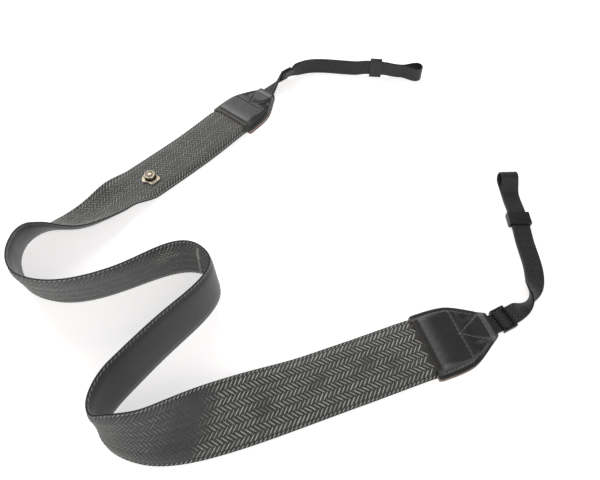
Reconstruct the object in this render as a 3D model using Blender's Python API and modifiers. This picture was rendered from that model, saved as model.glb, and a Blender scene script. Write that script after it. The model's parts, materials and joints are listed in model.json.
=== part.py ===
"""Coiled strap: a woven neck band with leather ends, webbing, sliders, keepers and lug loops.

The strap lies on a surface. Its band is flat at both ends and stands on one edge through three
turns. Metres, +Z up, +Y away from the viewer; the origin is on the surface, under the middle.
"""

from dataclasses import dataclass
from typing import NamedTuple

import bmesh
import bpy
import numpy as np
from mathutils import Matrix, Vector

# General
GAP = 0.0003  # between pieces that touch

# Neck band
BAND_LENGTH = 0.700  # along the edge that rests on the surface
BAND_WIDTH = 0.038
FACE_THICKNESS = 0.0014
BACKING_THICKNESS = 0.0014
BAND_RAMP = 0.045  # over which an end of the band rises into its tab

# Leather tabs
LEATHER = 0.0013
TAB_LENGTH = 0.045
TAB_OVERLAP = 0.023  # of the tab over the band
TAB_MARGIN = 0.0023  # leather beside the band
MOUTH_MARGIN = 0.003  # leather beside the webbing
TAB_PADDING = 0.0013  # at most, inside the wide end's skin
TAB_SHOULDER = 0.0016  # how far the upper leather bends down beside the band
TAB_STEP = 0.006  # along the tab, from the band's height to the webbing's

# Webbing
WEBBING_WIDTH = 0.012
WEBBING_THICKNESS = 0.0009
WEBBING_INSERT = 0.019  # inside the tab
LEFT_RUN = 0.146  # from the tab's mouth to the tip of the lug loop
RIGHT_RUN = 0.136
TAIL_END = 0.0035  # of webbing past the slider
LOOP_RADIUS = 0.0046  # to the middle of the webbing
LOOP_LEAD = 0.013  # over which the two layers part

# Slider and keeper
FIT = 0.0003  # beside and over webbing that runs through a fitting
RAIL = 0.0012
SLIDER_LENGTH = 0.0096
SLIDER_BAR = 0.0014
BAR_HEIGHT = 0.0009
KEEPER_LENGTH = 0.010
KEEPER_WALL = 0.0010
KEEPER_FROM_TIP = 0.045  # to its near end
FITTING_RAMP = 0.014  # over which webbing comes down beyond a fitting
LEFT_SLIDER_START = 0.0175  # past the tab's mouth
RIGHT_SLIDER_START = 0.0042

# Badge
BADGE_FROM_END = 0.104  # along the band
BADGE_LENGTH = 0.0114
BADGE_THICKNESS = 0.0008
BOSS_RADIUS = 0.0043
BOSS_HEIGHT = 0.0017

# Fineness
BAND_STATIONS = 92
BAND_STRIPS = 6
WEBBING_STATIONS = 26
WEBBING_STRIPS = 2
STATION_STEP = 0.012  # of straight route that counts as much as one station's turn
STATION_TURN = 0.165  # radians
LOOP_LEAD_STEPS = 6
LOOP_ARC_STEPS = 10
BOSS_SIDES = 20
FINE = 1500  # samples that a route is measured with
ROUNDING = 0.000001  # within which two places are the same
SHARP = 0.6  # radians between faces that meet at an edge

BAND_THICKNESS = BACKING_THICKNESS + GAP + FACE_THICKNESS
CLASP_HEIGHT = LEATHER + GAP
STACK = 2 * WEBBING_THICKNESS + GAP
LAYER = (WEBBING_THICKNESS + GAP) / 2  # of each layer from the middle of the two


class BandRow(NamedTuple):
    """A place along the band's resting edge, as shares of the band's length, and its cross-section there."""

    place: str
    x: float
    y: float
    lean: float  # degrees: 0 lies flat, 90 stands on the resting edge
    curl: float  # degrees that the section turns from edge to edge


BAND_ROWS = (
    BandRow("left tab", -0.0535, 0.185, 0, 0),
    BandRow("first run, far end", -0.0765, 0.159, 0, 0),
    BandRow("first run, middle", -0.130, 0.104, 0, 0),
    BandRow("first run, past the badge", -0.1625, 0.0715, 0, 8),
    BandRow("first run, near end", -0.185, 0.047, 2, 75),
    BandRow("left turn lifts", -0.204, 0.026, 17, 78),
    BandRow("left turn, far side", -0.239, -0.006, 48.5, 35),
    BandRow("left turn, middle", -0.248, -0.028, 59, 3),
    BandRow("left turn, near side", -0.242, -0.054, 73, 0),
    BandRow("second run stands", -0.209, -0.081, 96, 0),
    BandRow("second run, middle", -0.141, -0.074, 100, 0),
    BandRow("right turn, far side", -0.065, -0.063, 90, 0),
    BandRow("right turn, near side", -0.055, -0.074, 90, 0),
    BandRow("third run, far end", -0.086, -0.133, 95, 6),
    BandRow("third run, near end", -0.117, -0.168, 95, 10),
    BandRow("near turn, far side", -0.135, -0.205, 79, 12),
    BandRow("near turn, middle", -0.111, -0.222, 63, 11),
    BandRow("near turn falls", -0.080, -0.226, 46, 8),
    BandRow("fourth run, near end", -0.041, -0.220, 26, 4),
    BandRow("fourth run, middle", 0.0385, -0.197, 0, 0),
    BandRow("right tab", 0.160, -0.1595, 0, 0),
)


class TabRow(NamedTuple):
    """A section of a tab: its place from the wide end as a share of the tab's length, and its width."""

    along: float
    width: float  # 0 is the mouth's width and 1 the wide end's


TAB_ROWS = (
    TabRow(0.0, 0.94),
    TabRow(0.02, 0.98),
    TabRow(0.07, 1.0),
    TabRow(0.18, 1.0),
    TabRow(0.30, 0.99),
    TabRow(0.42, 0.95),
    TabRow(0.50, 0.90),
    TabRow(0.53, 0.87),
    TabRow(0.58, 0.80),
    TabRow(0.64, 0.70),
    TabRow(0.71, 0.56),
    TabRow(0.79, 0.39),
    TabRow(0.88, 0.19),
    TabRow(0.96, 0.03),
    TabRow(1.0, -0.07),
)
TAB_COLUMNS = (0, 0.16, 0.33, 0.45, 0.62, 0.80, 0.93, 1)  # shares of a section's half width


class PaddingRow(NamedTuple):
    """How much of a tab's padding is left at a place."""

    place: float
    share: float


PADDING_ALONG = (  # places from the wide end as shares of the overlap
    PaddingRow(0.0, 0.55),
    PaddingRow(0.20, 1.0),
    PaddingRow(0.35, 1.0),
    PaddingRow(0.65, 0.5),
    PaddingRow(0.95, 0.0),
    PaddingRow(1.0, 0.0),
)
PADDING_ACROSS = (  # places from the middle as shares of the band's half width
    PaddingRow(0.0, 1.0),
    PaddingRow(0.72, 1.0),
    PaddingRow(1.0, 0.02),
    PaddingRow(1.05, 0.0),
)


class WebbingRow(NamedTuple):
    """A place on a webbing's middle line, from the tab's mouth, as shares of the run, and its lean."""

    place: str
    ahead: float
    aside: float
    lean: float  # degrees that the right-hand edge has risen: 180 is turned over


LEFT_ROWS = (
    WebbingRow("mouth", 0.0, 0.0, 0),
    WebbingRow("before the slider", 0.082, 0.005, 26),
    WebbingRow("into the slider", 0.120, 0.000, 58),
    WebbingRow("out of the slider", 0.186, -0.012, 62),
    WebbingRow("stands", 0.246, -0.022, 88),
    WebbingRow("bend", 0.295, -0.045, 98),
    WebbingRow("after the bend", 0.350, -0.098, 103),
    WebbingRow("along the surface", 0.420, -0.207, 103),
    WebbingRow("keeper", 0.590, -0.480, 91),
    WebbingRow("lug loop", 0.680, -0.625, 90),
)
RIGHT_ROWS = (
    WebbingRow("mouth", 0.0, 0.0, 0),
    WebbingRow("into the slider", 0.045, 0.005, 0),
    WebbingRow("out of the slider", 0.110, 0.014, 2),
    WebbingRow("near edge lifts", 0.150, 0.020, 16),
    WebbingRow("near edge rises", 0.180, 0.027, 52),
    WebbingRow("stands", 0.208, 0.040, 90),
    WebbingRow("comes over", 0.248, 0.070, 132),
    WebbingRow("nearly flat", 0.292, 0.110, 164),
    WebbingRow("turned over", 0.331, 0.166, 177),
    WebbingRow("lies flat", 0.379, 0.293, 180),
    WebbingRow("keeper", 0.485, 0.611, 180),
    WebbingRow("lug loop", 0.528, 0.744, 180),
)

BADGE_OUTLINE = (  # along and across the band from the boss, as shares of the plate's length
    (-0.64, -0.14),
    (-0.44, -0.30),
    (-0.44, -0.64),
    (-0.32, -0.72),
    (0.24, -0.72),
    (0.35, -0.64),
    (0.34, -0.38),
    (0.30, 0.10),
    (0.10, 0.36),
    (-0.34, 0.40),
    (-0.64, 0.10),
)

BOSS_PROFILE = (  # shares of the boss's radius and height, down its outer side
    (0.0, 0.92),
    (0.30, 0.86),
    (0.52, 0.66),
    (0.64, 0.62),
    (0.76, 0.86),
    (0.88, 0.90),
    (1.0, 0.66),
    (1.0, 0.0),
)


def natural_spline(knots, values, at):
    """A cubic through the values that bends freely at its ends."""
    count, step = len(knots), np.diff(knots)
    system, wanted = np.eye(count), np.zeros(count)
    for i in range(1, count - 1):
        system[i, i - 1 : i + 2] = step[i - 1], 2 * (step[i - 1] + step[i]), step[i]
        slopes = np.diff(values[i - 1 : i + 2]) / step[i - 1 : i + 1]
        wanted[i] = 6 * (slopes[1] - slopes[0])
    bend = np.linalg.solve(system, wanted)
    k = np.clip(np.searchsorted(knots, at) - 1, 0, count - 2)
    a, b = (knots[k + 1] - at) / step[k], (at - knots[k]) / step[k]
    curved = ((a**3 - a) * bend[k] + (b**3 - b) * bend[k + 1]) * step[k] ** 2 / 6
    return a * values[k] + b * values[k + 1] + curved


def eased_spline(knots, values, at):
    """A cubic through the values that never overshoots them."""
    step = np.diff(knots)
    slope = np.diff(values) / step
    tangent = np.concatenate([slope[:1], np.zeros(len(knots) - 2), slope[-1:]])
    for i in range(1, len(knots) - 1):
        if slope[i - 1] * slope[i] > 0:
            first, second = 2 * step[i] + step[i - 1], step[i] + 2 * step[i - 1]
            tangent[i] = (first + second) / (first / slope[i - 1] + second / slope[i])
    k = np.clip(np.searchsorted(knots, at) - 1, 0, len(knots) - 2)
    s = (at - knots[k]) / step[k]
    start = (2 * s**3 - 3 * s**2 + 1) * values[k] + (s**3 - 2 * s**2 + s) * step[k] * tangent[k]
    end = (3 * s**2 - 2 * s**3) * values[k + 1] + (s**3 - s**2) * step[k] * tangent[k + 1]
    return start + end


def smooth_step(x):
    x = np.clip(x, 0, 1)
    return x * x * (3 - 2 * x)


def arc_lengths(points):
    return np.concatenate([[0], np.cumsum(np.linalg.norm(np.diff(points, axis=0), axis=1))])


def turned_so_far(*angles):
    """The angles' changes along a route, added up."""
    return sum(np.concatenate([[0], np.cumsum(np.abs(np.diff(angle)))]) for angle in angles)


def even_stations(lengths, turned, start, end, count):
    """Places along a route from start to end, closer together where it turns, leans or twists."""
    effort = lengths / STATION_STEP + turned / STATION_TURN
    first, last = np.interp((start, end), lengths, effort)
    return np.interp(np.linspace(first, last, count), effort, lengths)


class Band:
    """The neck band's layout: a ribbon carried by the edge that rests on the surface."""

    def __init__(self):
        rows = np.array([row[1:3] for row in BAND_ROWS])
        knots = arc_lengths(rows)
        at = np.linspace(0, knots[-1], FINE)
        edge = np.stack([natural_spline(knots, rows[:, i], at) for i in (0, 1)], axis=-1)
        edge *= BAND_LENGTH / arc_lengths(edge)[-1]
        self.edge = edge
        self.length = arc_lengths(edge)
        self.lean = np.radians(eased_spline(knots, np.array([row.lean for row in BAND_ROWS]), at))
        self.curl = np.radians(eased_spline(knots, np.array([row.curl for row in BAND_ROWS]), at))
        ahead = np.gradient(edge, axis=0)
        self.ahead = ahead / np.linalg.norm(ahead, axis=1)[:, None]
        heading = np.unwrap(np.arctan2(self.ahead[:, 1], self.ahead[:, 0]))
        self.turned = turned_so_far(heading, self.lean, self.curl / 2)

    def stations(self):
        return even_stations(self.length, self.turned, 0, BAND_LENGTH, BAND_STATIONS)

    def lift(self, at):
        """How high the resting edge is: an end lies on its tab's lower leather."""
        from_end = np.minimum(at, BAND_LENGTH - at)
        return CLASP_HEIGHT * (1 - smooth_step((from_end - TAB_OVERLAP) / BAND_RAMP))

    def underside(self, at, strips):
        """Points of the band's underside, an array of stations by places across."""
        edge = np.stack([np.interp(at, self.length, self.edge[:, i]) for i in (0, 1)], axis=-1)
        ahead = np.stack([np.interp(at, self.length, self.ahead[:, i]) for i in (0, 1)], axis=-1)
        lean, curl = (np.interp(at, self.length, a) for a in (self.lean, self.curl))
        left = np.stack([-ahead[:, 1], ahead[:, 0]], axis=-1)
        left /= np.linalg.norm(left, axis=1)[:, None]
        across = np.linspace(0, 1, strips + 1)
        middles = (across[1:] + across[:-1]) / 2
        angle = lean[:, None] + curl[:, None] * (middles - 0.5)
        step = BAND_WIDTH / strips
        out = np.cumsum(np.pad(step * np.cos(angle), ((0, 0), (1, 0))), axis=1)
        up = np.cumsum(np.pad(step * np.sin(angle), ((0, 0), (1, 0))), axis=1)
        facing = lean[:, None] + curl[:, None] * (across - 0.5)
        lowest = np.minimum(up, up + BAND_THICKNESS * np.cos(facing)).min(axis=1)
        up += (self.lift(at) - np.minimum(lowest, 0))[:, None]
        plan = edge[:, None, :] + left[:, None, :] * out[:, :, None]
        return np.concatenate([plan, up[:, :, None]], axis=2)

    def surface(self, at, strips, height):
        """Points at a height over the underside, square to it."""
        under = self.underside(at, strips)
        step = BAND_LENGTH / FINE
        before = self.underside(np.clip(at - step, 0, BAND_LENGTH), strips)
        after = self.underside(np.clip(at + step, 0, BAND_LENGTH), strips)
        square = np.cross(after - before, np.gradient(under, axis=1))
        return under + height * square / np.linalg.norm(square, axis=2)[:, :, None]

    def end_frame(self, right_end):
        """The middle of an end of the band on the surface, with X outward along the band and Z up."""
        at = np.array([BAND_LENGTH if right_end else 0.0])
        first, last = self.surface(at, BAND_STRIPS, 0)[0, [0, -1]]
        cross = last - first if right_end else first - last
        aside = Vector((cross[0], cross[1], 0)).normalized()
        ahead = aside.cross(Vector((0, 0, 1)))
        middle = (first + last) / 2
        frame = Matrix((ahead, aside, (0, 0, 1))).transposed().to_4x4()
        frame.translation = (middle[0], middle[1], 0)
        return frame


def material(name, colour, roughness, metallic=0.0):
    made = bpy.data.materials.new(name)
    made.use_nodes = True
    made.diffuse_color = (*colour, 1)
    shader = made.node_tree.nodes["Principled BSDF"]
    shader.inputs["Base Color"].default_value = (*colour, 1)
    shader.inputs["Roughness"].default_value = roughness
    shader.inputs["Metallic"].default_value = metallic
    return made


@dataclass
class Workshop:
    """The collections and materials that the pieces are made with."""

    parts: bpy.types.Collection
    cutters: bpy.types.Collection
    materials: dict

    def add(self, name, mesh, slot, helper=False):
        obj = bpy.data.objects.new(name, mesh)
        (self.cutters if helper else self.parts).objects.link(obj)
        if helper:
            obj.hide_render = True
            obj.display_type = "WIRE"
        else:
            mesh.materials.append(self.materials[slot])
            mesh.shade_smooth()
            mesh.set_sharp_from_angle(angle=SHARP)
        return obj

    def sheet(self, name, points, slot, thickness, offset=1.0, weights=None):
        """An open grid through the points (rows by columns), made a wall by Solidify."""
        rows, columns = points.shape[:2]
        bm = bmesh.new()
        bmesh.ops.create_grid(bm, x_segments=rows - 1, y_segments=columns - 1, size=1)
        cells = []
        for vertex in bm.verts:
            i = round((vertex.co.x + 1) / 2 * (rows - 1))
            j = round((vertex.co.y + 1) / 2 * (columns - 1))
            cells.append((i, j))
            vertex.co = points[i, j]
        mesh = bpy.data.meshes.new(name)
        bm.to_mesh(mesh)
        bm.free()
        obj = self.add(name, mesh, slot)
        wall = obj.modifiers.new("Wall", "SOLIDIFY")
        wall.thickness = thickness
        wall.offset = offset
        wall.use_even_offset = True
        if weights is not None:
            group = obj.vertex_groups.new(name="thickness")
            for index, (i, j) in enumerate(cells):
                group.add([index], float(weights[i, j]), "REPLACE")
            wall.vertex_group = group.name
        return obj

    def box(self, name, slot, low, high, frame, helper=False):
        low, high = Vector(low), Vector(high)
        bm = bmesh.new()
        bmesh.ops.create_cube(bm, size=1)
        sides = Matrix.Diagonal((*(high - low), 1))
        bmesh.ops.transform(bm, matrix=Matrix.Translation((low + high) / 2) @ sides, verts=bm.verts)
        mesh = bpy.data.meshes.new(name)
        bm.to_mesh(mesh)
        bm.free()
        obj = self.add(name, mesh, slot, helper)
        obj.matrix_world = frame
        return obj

    def combine(self, obj, other, operation):
        step = obj.modifiers.new(other.name, "BOOLEAN")
        step.object = other
        step.operation = operation


def make_band(shop, band):
    """The backing lies under the face, with the same outline."""
    at = band.stations()
    for name, slot, height, thickness in (
        ("band_backing", "backing", 0, BACKING_THICKNESS),
        ("band_face", "herringbone", BACKING_THICKNESS + GAP, FACE_THICKNESS),
    ):
        shop.sheet(name, band.surface(at, BAND_STRIPS, height), slot, thickness)


class Tab:
    """Two layers of leather that clasp an end of the band and the webbing sewn in beyond it."""

    def __init__(self, side, frame):
        self.side = side
        self.frame = frame
        self.along = np.array([row.along for row in TAB_ROWS]) * TAB_LENGTH
        wide = BAND_WIDTH / 2 + TAB_MARGIN
        mouth = WEBBING_WIDTH / 2 + MOUTH_MARGIN
        self.half_width = mouth + (wide - mouth) * np.array([row.width for row in TAB_ROWS])

    def grid(self, columns, shrink=0.0, beside_band=False):
        """Flat places over the tab, from where the band ends; one column may run beside the band."""
        half = self.half_width - shrink
        aside = half[:, None] * np.array(columns)
        if beside_band:
            beside = BAND_WIDTH / 2 + GAP
            aside[half > beside + GAP, -2] = beside
        aside = np.concatenate([-aside[:, :0:-1], aside], axis=1)
        ahead = np.repeat(self.along[:, None] - TAB_OVERLAP, aside.shape[1], axis=1)
        return ahead, aside

    def placed(self, ahead, aside, height):
        local = np.stack([ahead, aside, height], axis=-1)
        turn, shift = np.array(self.frame.to_3x3()), np.array(self.frame.translation)
        return local @ turn.T + shift

    def underside(self, ahead, aside):
        """Height of the upper leather's underside: over the band, down its sides, then over the webbing."""
        over_band = CLASP_HEIGHT + BAND_THICKNESS + GAP
        over_webbing = CLASP_HEIGHT + WEBBING_THICKNESS + GAP
        beside_band = np.clip((np.abs(aside) - BAND_WIDTH / 2 - GAP) / TAB_MARGIN, 0, 1)
        beside_webbing = smooth_step((np.abs(aside) - WEBBING_WIDTH / 2 - GAP) / MOUTH_MARGIN)
        wide = over_band - TAB_SHOULDER * beside_band
        narrow = over_webbing - (over_webbing - CLASP_HEIGHT) * beside_webbing
        return wide + (narrow - wide) * smooth_step((ahead - 2 * GAP) / TAB_STEP)

    def padding(self, ahead, aside):
        """Share of the padding under the upper skin: most near the wide end, none at the band's end."""
        along = (ahead + TAB_OVERLAP) / TAB_OVERLAP
        across = 2 * np.abs(aside) / BAND_WIDTH
        share = 1
        for rows, place in ((PADDING_ALONG, along), (PADDING_ACROSS, across)):
            knots, shares = np.array(rows).T
            share = share * eased_spline(knots, shares, np.clip(place, knots[0], knots[-1]))
        return share

    def make(self, shop):
        ahead, aside = self.grid(TAB_COLUMNS, shrink=LEATHER / 2, beside_band=True)
        most = LEATHER + TAB_PADDING
        weights = (LEATHER + TAB_PADDING * self.padding(ahead, aside)) / most
        upper = self.placed(ahead, aside, self.underside(ahead, aside))
        shop.sheet(f"{self.side}_tab_upper", upper, "leather", most, weights=weights)
        ahead, aside = self.grid((0, 1))
        lower = self.placed(ahead, aside, np.zeros_like(ahead))
        shop.sheet(f"{self.side}_tab_lower", lower, "leather", LEATHER)


@dataclass
class Fitting:
    """Where a slider or keeper sits on the webbing, and how far it reaches past the two layers."""

    start: float
    length: float
    beside: float
    below: float

    @property
    def end(self):
        return self.start + self.length

    @property
    def middle(self):
        return self.start + self.length / 2

    @property
    def reach(self):
        """Half of the straight stretch that the fitting holds."""
        return self.length / 2 + 2 * GAP

    def past(self, at):
        """How far places are beyond that stretch."""
        return np.abs(at - self.middle) - self.reach


class Webbing:
    """One strip that leaves the tab, goes round an open loop and comes back to end past the slider."""

    def __init__(self, side, tab, rows, run, slider_start, loop_bias):
        self.side = side
        self.tab_frame = tab.frame
        self.run = run
        self.loop_bias = loop_bias
        self.slider = Fitting(slider_start, SLIDER_LENGTH, FIT + RAIL, 0)
        start = run - KEEPER_FROM_TIP
        self.keeper = Fitting(start, KEEPER_LENGTH, FIT + RAIL, FIT + KEEPER_WALL)
        plan = np.array([row[1:3] for row in rows])
        plan = np.concatenate([[(-WEBBING_INSERT / run, 0)], plan])
        lean = np.array([0, *(row.lean for row in rows)])
        knots = arc_lengths(plan)
        at = np.linspace(0, knots[-1], FINE)
        line = np.stack([natural_spline(knots, plan[:, i], at) for i in (0, 1)], axis=-1)
        mouth = np.searchsorted(at, knots[1])
        line *= run / (arc_lengths(line)[-1] - arc_lengths(line)[mouth])
        line[:, 0] += TAB_LENGTH - TAB_OVERLAP
        self.length = arc_lengths(line) - arc_lengths(line)[mouth]
        self.lean = np.radians(eased_spline(knots, lean, at))
        turn, shift = np.array(tab.frame.to_3x3())[:2, :2], np.array(tab.frame.translation)[:2]
        self.line = line @ turn.T + shift
        ahead = np.gradient(self.line, axis=0)
        self.ahead = ahead / np.linalg.norm(ahead, axis=1)[:, None]

    def lift(self, at, lean):
        """How far a fitting's corner, which rests on the surface, holds the webbing up."""
        lift = np.zeros_like(at)
        for fitting in (self.slider, self.keeper):
            need = fitting.beside * np.abs(np.sin(lean)) + fitting.below * np.abs(np.cos(lean))
            lift = np.maximum(lift, need * (1 - smooth_step(fitting.past(at) / FITTING_RAMP)))
        return lift

    def frames(self, at):
        """The middle of the two layers, and the ahead, across and facing directions there."""
        at = np.atleast_1d(at).astype(float)
        held = at.copy()
        for fitting in (self.slider, self.keeper):
            held[fitting.past(at) < ROUNDING] = fitting.middle
        plan = np.stack([np.interp(held, self.length, self.line[:, i]) for i in (0, 1)], axis=-1)
        ahead = np.stack([np.interp(held, self.length, self.ahead[:, i]) for i in (0, 1)], axis=-1)
        ahead /= np.linalg.norm(ahead, axis=1)[:, None]
        plan += ahead * (at - held)[:, None]
        lean = np.interp(held, self.length, self.lean)
        height = WEBBING_WIDTH / 2 * np.abs(np.sin(lean)) + STACK / 2 * np.abs(np.cos(lean))
        height += self.lift(held, lean)
        flat = np.zeros_like(lean)
        right = np.stack([ahead[:, 1], -ahead[:, 0], flat], axis=-1)
        up = np.array((0, 0, 1))
        middle = np.stack([plan[:, 0], plan[:, 1], height], axis=-1)
        across = right * np.cos(lean)[:, None] + up * np.sin(lean)[:, None]
        facing = up * np.cos(lean)[:, None] - right * np.sin(lean)[:, None]
        return middle, np.stack([ahead[:, 0], ahead[:, 1], flat], axis=-1), across, facing

    def frame(self, at):
        """The same as a matrix: X ahead, Y to the left and Z facing."""
        middle, ahead, across, facing = (Vector(v[0]) for v in self.frames(at))
        frame = Matrix((ahead, -across, facing)).transposed().to_4x4()
        frame.translation = middle
        return frame

    def route_stations(self):
        """Places from just past the slider to where the two layers part."""
        heading = np.unwrap(np.arctan2(self.ahead[:, 1], self.ahead[:, 0]))
        turned = turned_so_far(heading, self.lean)
        first = self.slider.middle + self.slider.reach
        last = self.run - LOOP_RADIUS - WEBBING_THICKNESS / 2 - LOOP_LEAD
        at = even_stations(self.length, turned, first, last, WEBBING_STATIONS)
        keeper = (self.keeper.middle - self.keeper.reach, self.keeper.middle + self.keeper.reach)
        return np.sort(np.concatenate([at[self.keeper.past(at) > 2 * GAP], keeper]))

    def through_slider(self, low, over):
        """Steps of a layer over the centre bar and under the two end bars."""
        start, middle, end = self.slider.start, self.slider.middle, self.slider.end
        bar = SLIDER_BAR / 2 + GAP
        steps = [(start, low), (start + SLIDER_BAR + GAP, low), (middle - bar, over)]
        return steps + [(middle + bar, over), (end - SLIDER_BAR - GAP, low), (end, low)]

    def lug_loop(self):
        """The open loop: the layers part, round a half circle and back, leaning to one side by the bias."""
        centre = self.run - LOOP_RADIUS - WEBBING_THICKNESS / 2
        drop = self.loop_bias * (LOOP_RADIUS - LAYER)
        share = np.linspace(0, 1, LOOP_LEAD_STEPS + 1)[1:-1]
        ahead = centre - LOOP_LEAD + LOOP_LEAD * share
        outward = LAYER + (LOOP_RADIUS - drop - LAYER) * smooth_step(share)
        back = -LAYER + (LAYER - LOOP_RADIUS - drop) * smooth_step(share)
        turn = np.linspace(np.pi / 2, -np.pi / 2, LOOP_ARC_STEPS + 1)
        arc = [(centre + LOOP_RADIUS * np.cos(a), LOOP_RADIUS * np.sin(a) - drop) for a in turn]
        return [*zip(ahead, outward), *arc, *zip(ahead[::-1], back[::-1])]

    def strip_path(self):
        """The strip as steps of distance along the route and height from the middle of the layers."""
        in_tab = CLASP_HEIGHT + WEBBING_THICKNESS / 2 - STACK / 2
        bar_top = BAR_HEIGHT - STACK / 2
        tail_over = bar_top + GAP + WEBBING_THICKNESS / 2
        route = self.route_stations()
        path = [(-WEBBING_INSERT, in_tab), (-WEBBING_INSERT / 2, in_tab), (GAP, in_tab)]
        path += self.through_slider(LAYER, tail_over + 2 * LAYER)
        path += [(s, LAYER) for s in route]
        path += self.lug_loop()
        path += [(s, -LAYER) for s in route[::-1]]
        path += self.through_slider(-LAYER, tail_over)[::-1]
        path += [(self.slider.start - TAIL_END, -LAYER)]
        return np.array(path)

    def make(self, shop):
        path = self.strip_path()
        middle, _, across, facing = self.frames(path[:, 0])
        place = middle + facing * path[:, 1:2]
        aside = np.linspace(-0.5, 0.5, WEBBING_STRIPS + 1) * WEBBING_WIDTH
        points = place[:, None, :] + across[:, None, :] * aside[:, None]
        shop.sheet(f"{self.side}_webbing", points, "webbing", WEBBING_THICKNESS, offset=0)
        self.make_slider(shop)
        self.make_keeper(shop)

    def make_slider(self, shop):
        """Two rails, an end bar at each end over the webbing and a centre bar under it."""
        frame = self.frame(self.slider.middle)
        half = SLIDER_LENGTH / 2
        inner = WEBBING_WIDTH / 2 + FIT
        under, over = -STACK / 2, STACK / 2 + FIT
        top = over + BAR_HEIGHT
        name = f"{self.side}_slider"
        slider = shop.box(name, "plastic", (-half, inner, under), (half, inner + RAIL, top), frame)
        pieces = {"other_rail": ((-half, -inner - RAIL, under), (half, -inner, top))}
        reach, end = inner + RAIL / 2, half - SLIDER_BAR / 2
        for bar, middle, low in (("near", -end, over), ("far", end, over), ("centre", 0, under)):
            corner = (middle - SLIDER_BAR / 2, -reach, low)
            pieces[f"{bar}_bar"] = (corner, (middle + SLIDER_BAR / 2, reach, low + BAR_HEIGHT))
        for piece, (low, high) in pieces.items():
            other = shop.box(f"{name}_{piece}", "plastic", low, high, frame, helper=True)
            shop.combine(slider, other, "UNION")

    def make_keeper(self, shop):
        """A flat ring round both layers."""
        frame = self.frame(self.keeper.middle)
        half = KEEPER_LENGTH / 2
        inner, height = WEBBING_WIDTH / 2 + FIT, STACK / 2 + FIT
        outer, top = inner + RAIL, height + KEEPER_WALL
        name = f"{self.side}_keeper"
        ring = shop.box(name, "plastic", (-half, -outer, -top), (half, outer, top), frame)
        low, high = (-half - GAP, -inner, -height), (half + GAP, inner, height)
        hole = shop.box(f"{name}_hole", "plastic", low, high, frame, helper=True)
        shop.combine(ring, hole, "DIFFERENCE")


def make_badge(shop, band):
    """A small plate riveted to the band's face, with a raised round boss."""
    at = np.array([BADGE_FROM_END, BADGE_FROM_END + BADGE_LENGTH])
    base = band.surface(at, 2, BAND_THICKNESS + GAP)
    middle, next_middle = Vector(base[0, 1]), Vector(base[1, 1])
    ahead = (middle - next_middle).normalized()
    up = ahead.cross(Vector(base[0, 0] - base[0, -1])).normalized()
    frame = Matrix((ahead, up.cross(ahead), up)).transposed().to_4x4()
    frame.translation = middle

    bm = bmesh.new()
    corners = [bm.verts.new((x * BADGE_LENGTH, y * BADGE_LENGTH, 0)) for x, y in BADGE_OUTLINE]
    bm.faces.new(corners)
    mesh = bpy.data.meshes.new("badge_plate")
    bm.to_mesh(mesh)
    bm.free()
    plate = shop.add("badge_plate", mesh, "brass")
    plate.matrix_world = frame
    wall = plate.modifiers.new("Plate", "SOLIDIFY")
    wall.thickness = BADGE_THICKNESS
    wall.offset = 1

    bm = bmesh.new()
    profile = [bm.verts.new((r * BOSS_RADIUS, 0, z * BOSS_HEIGHT)) for r, z in BOSS_PROFILE]
    profile.append(bm.verts.new((0, 0, 0)))
    for first, second in zip(profile, profile[1:]):
        bm.edges.new((first, second))
    mesh = bpy.data.meshes.new("badge_boss")
    bm.to_mesh(mesh)
    bm.free()
    boss = shop.add("badge_boss", mesh, "brass")
    boss.matrix_world = frame @ Matrix.Translation((0, 0, BADGE_THICKNESS + GAP))
    turn = boss.modifiers.new("Turned", "SCREW")
    turn.axis = "Z"
    turn.steps = turn.render_steps = BOSS_SIDES
    turn.use_merge_vertices = True
    turn.merge_threshold = ROUNDING


def stand_on_origin(parts):
    """Moves the whole strap so that the middle of its box is over the origin."""
    bpy.context.view_layer.update()
    graph = bpy.context.evaluated_depsgraph_get()
    corners = []
    for obj in parts.objects:
        evaluated = obj.evaluated_get(graph)
        corners += [obj.matrix_world @ Vector(corner) for corner in evaluated.bound_box]
    low = Vector(min(c[i] for c in corners) for i in range(3))
    high = Vector(max(c[i] for c in corners) for i in range(3))
    anchor = bpy.data.objects.new("layout", None)
    parts.objects.link(anchor)
    anchor.location = (-(low.x + high.x) / 2, -(low.y + high.y) / 2, 0)
    return anchor


def clear_scene():
    for obj in list(bpy.data.objects):
        bpy.data.objects.remove(obj, do_unlink=True)


def make_workshop():
    parts = bpy.data.collections.new("coiled_camera_strap")
    cutters = bpy.data.collections.new("cutters")
    for collection in (parts, cutters):
        bpy.context.scene.collection.children.link(collection)
    materials = {
        "herringbone": material("herringbone", (0.085, 0.087, 0.092), 0.92),
        "backing": material("backing", (0.055, 0.058, 0.064), 0.85),
        "leather": material("leather", (0.020, 0.020, 0.022), 0.48),
        "webbing": material("webbing", (0.014, 0.014, 0.016), 0.75),
        "plastic": material("plastic", (0.012, 0.012, 0.013), 0.38),
        "brass": material("brass", (0.50, 0.42, 0.31), 0.35, 1.0),
    }
    return Workshop(parts, cutters, materials)


def main():
    clear_scene()
    shop = make_workshop()
    band = Band()
    make_band(shop, band)
    left = Tab("left", band.end_frame(right_end=False))
    right = Tab("right", band.end_frame(right_end=True))
    left.make(shop)
    right.make(shop)
    Webbing("left", left, LEFT_ROWS, LEFT_RUN, LEFT_SLIDER_START, loop_bias=0).make(shop)
    Webbing("right", right, RIGHT_ROWS, RIGHT_RUN, RIGHT_SLIDER_START, loop_bias=1).make(shop)
    make_badge(shop, band)
    anchor = stand_on_origin(shop.parts)
    for obj in (*shop.parts.objects, *shop.cutters.objects):
        if obj is not anchor:
            obj.parent = anchor


main()
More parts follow.
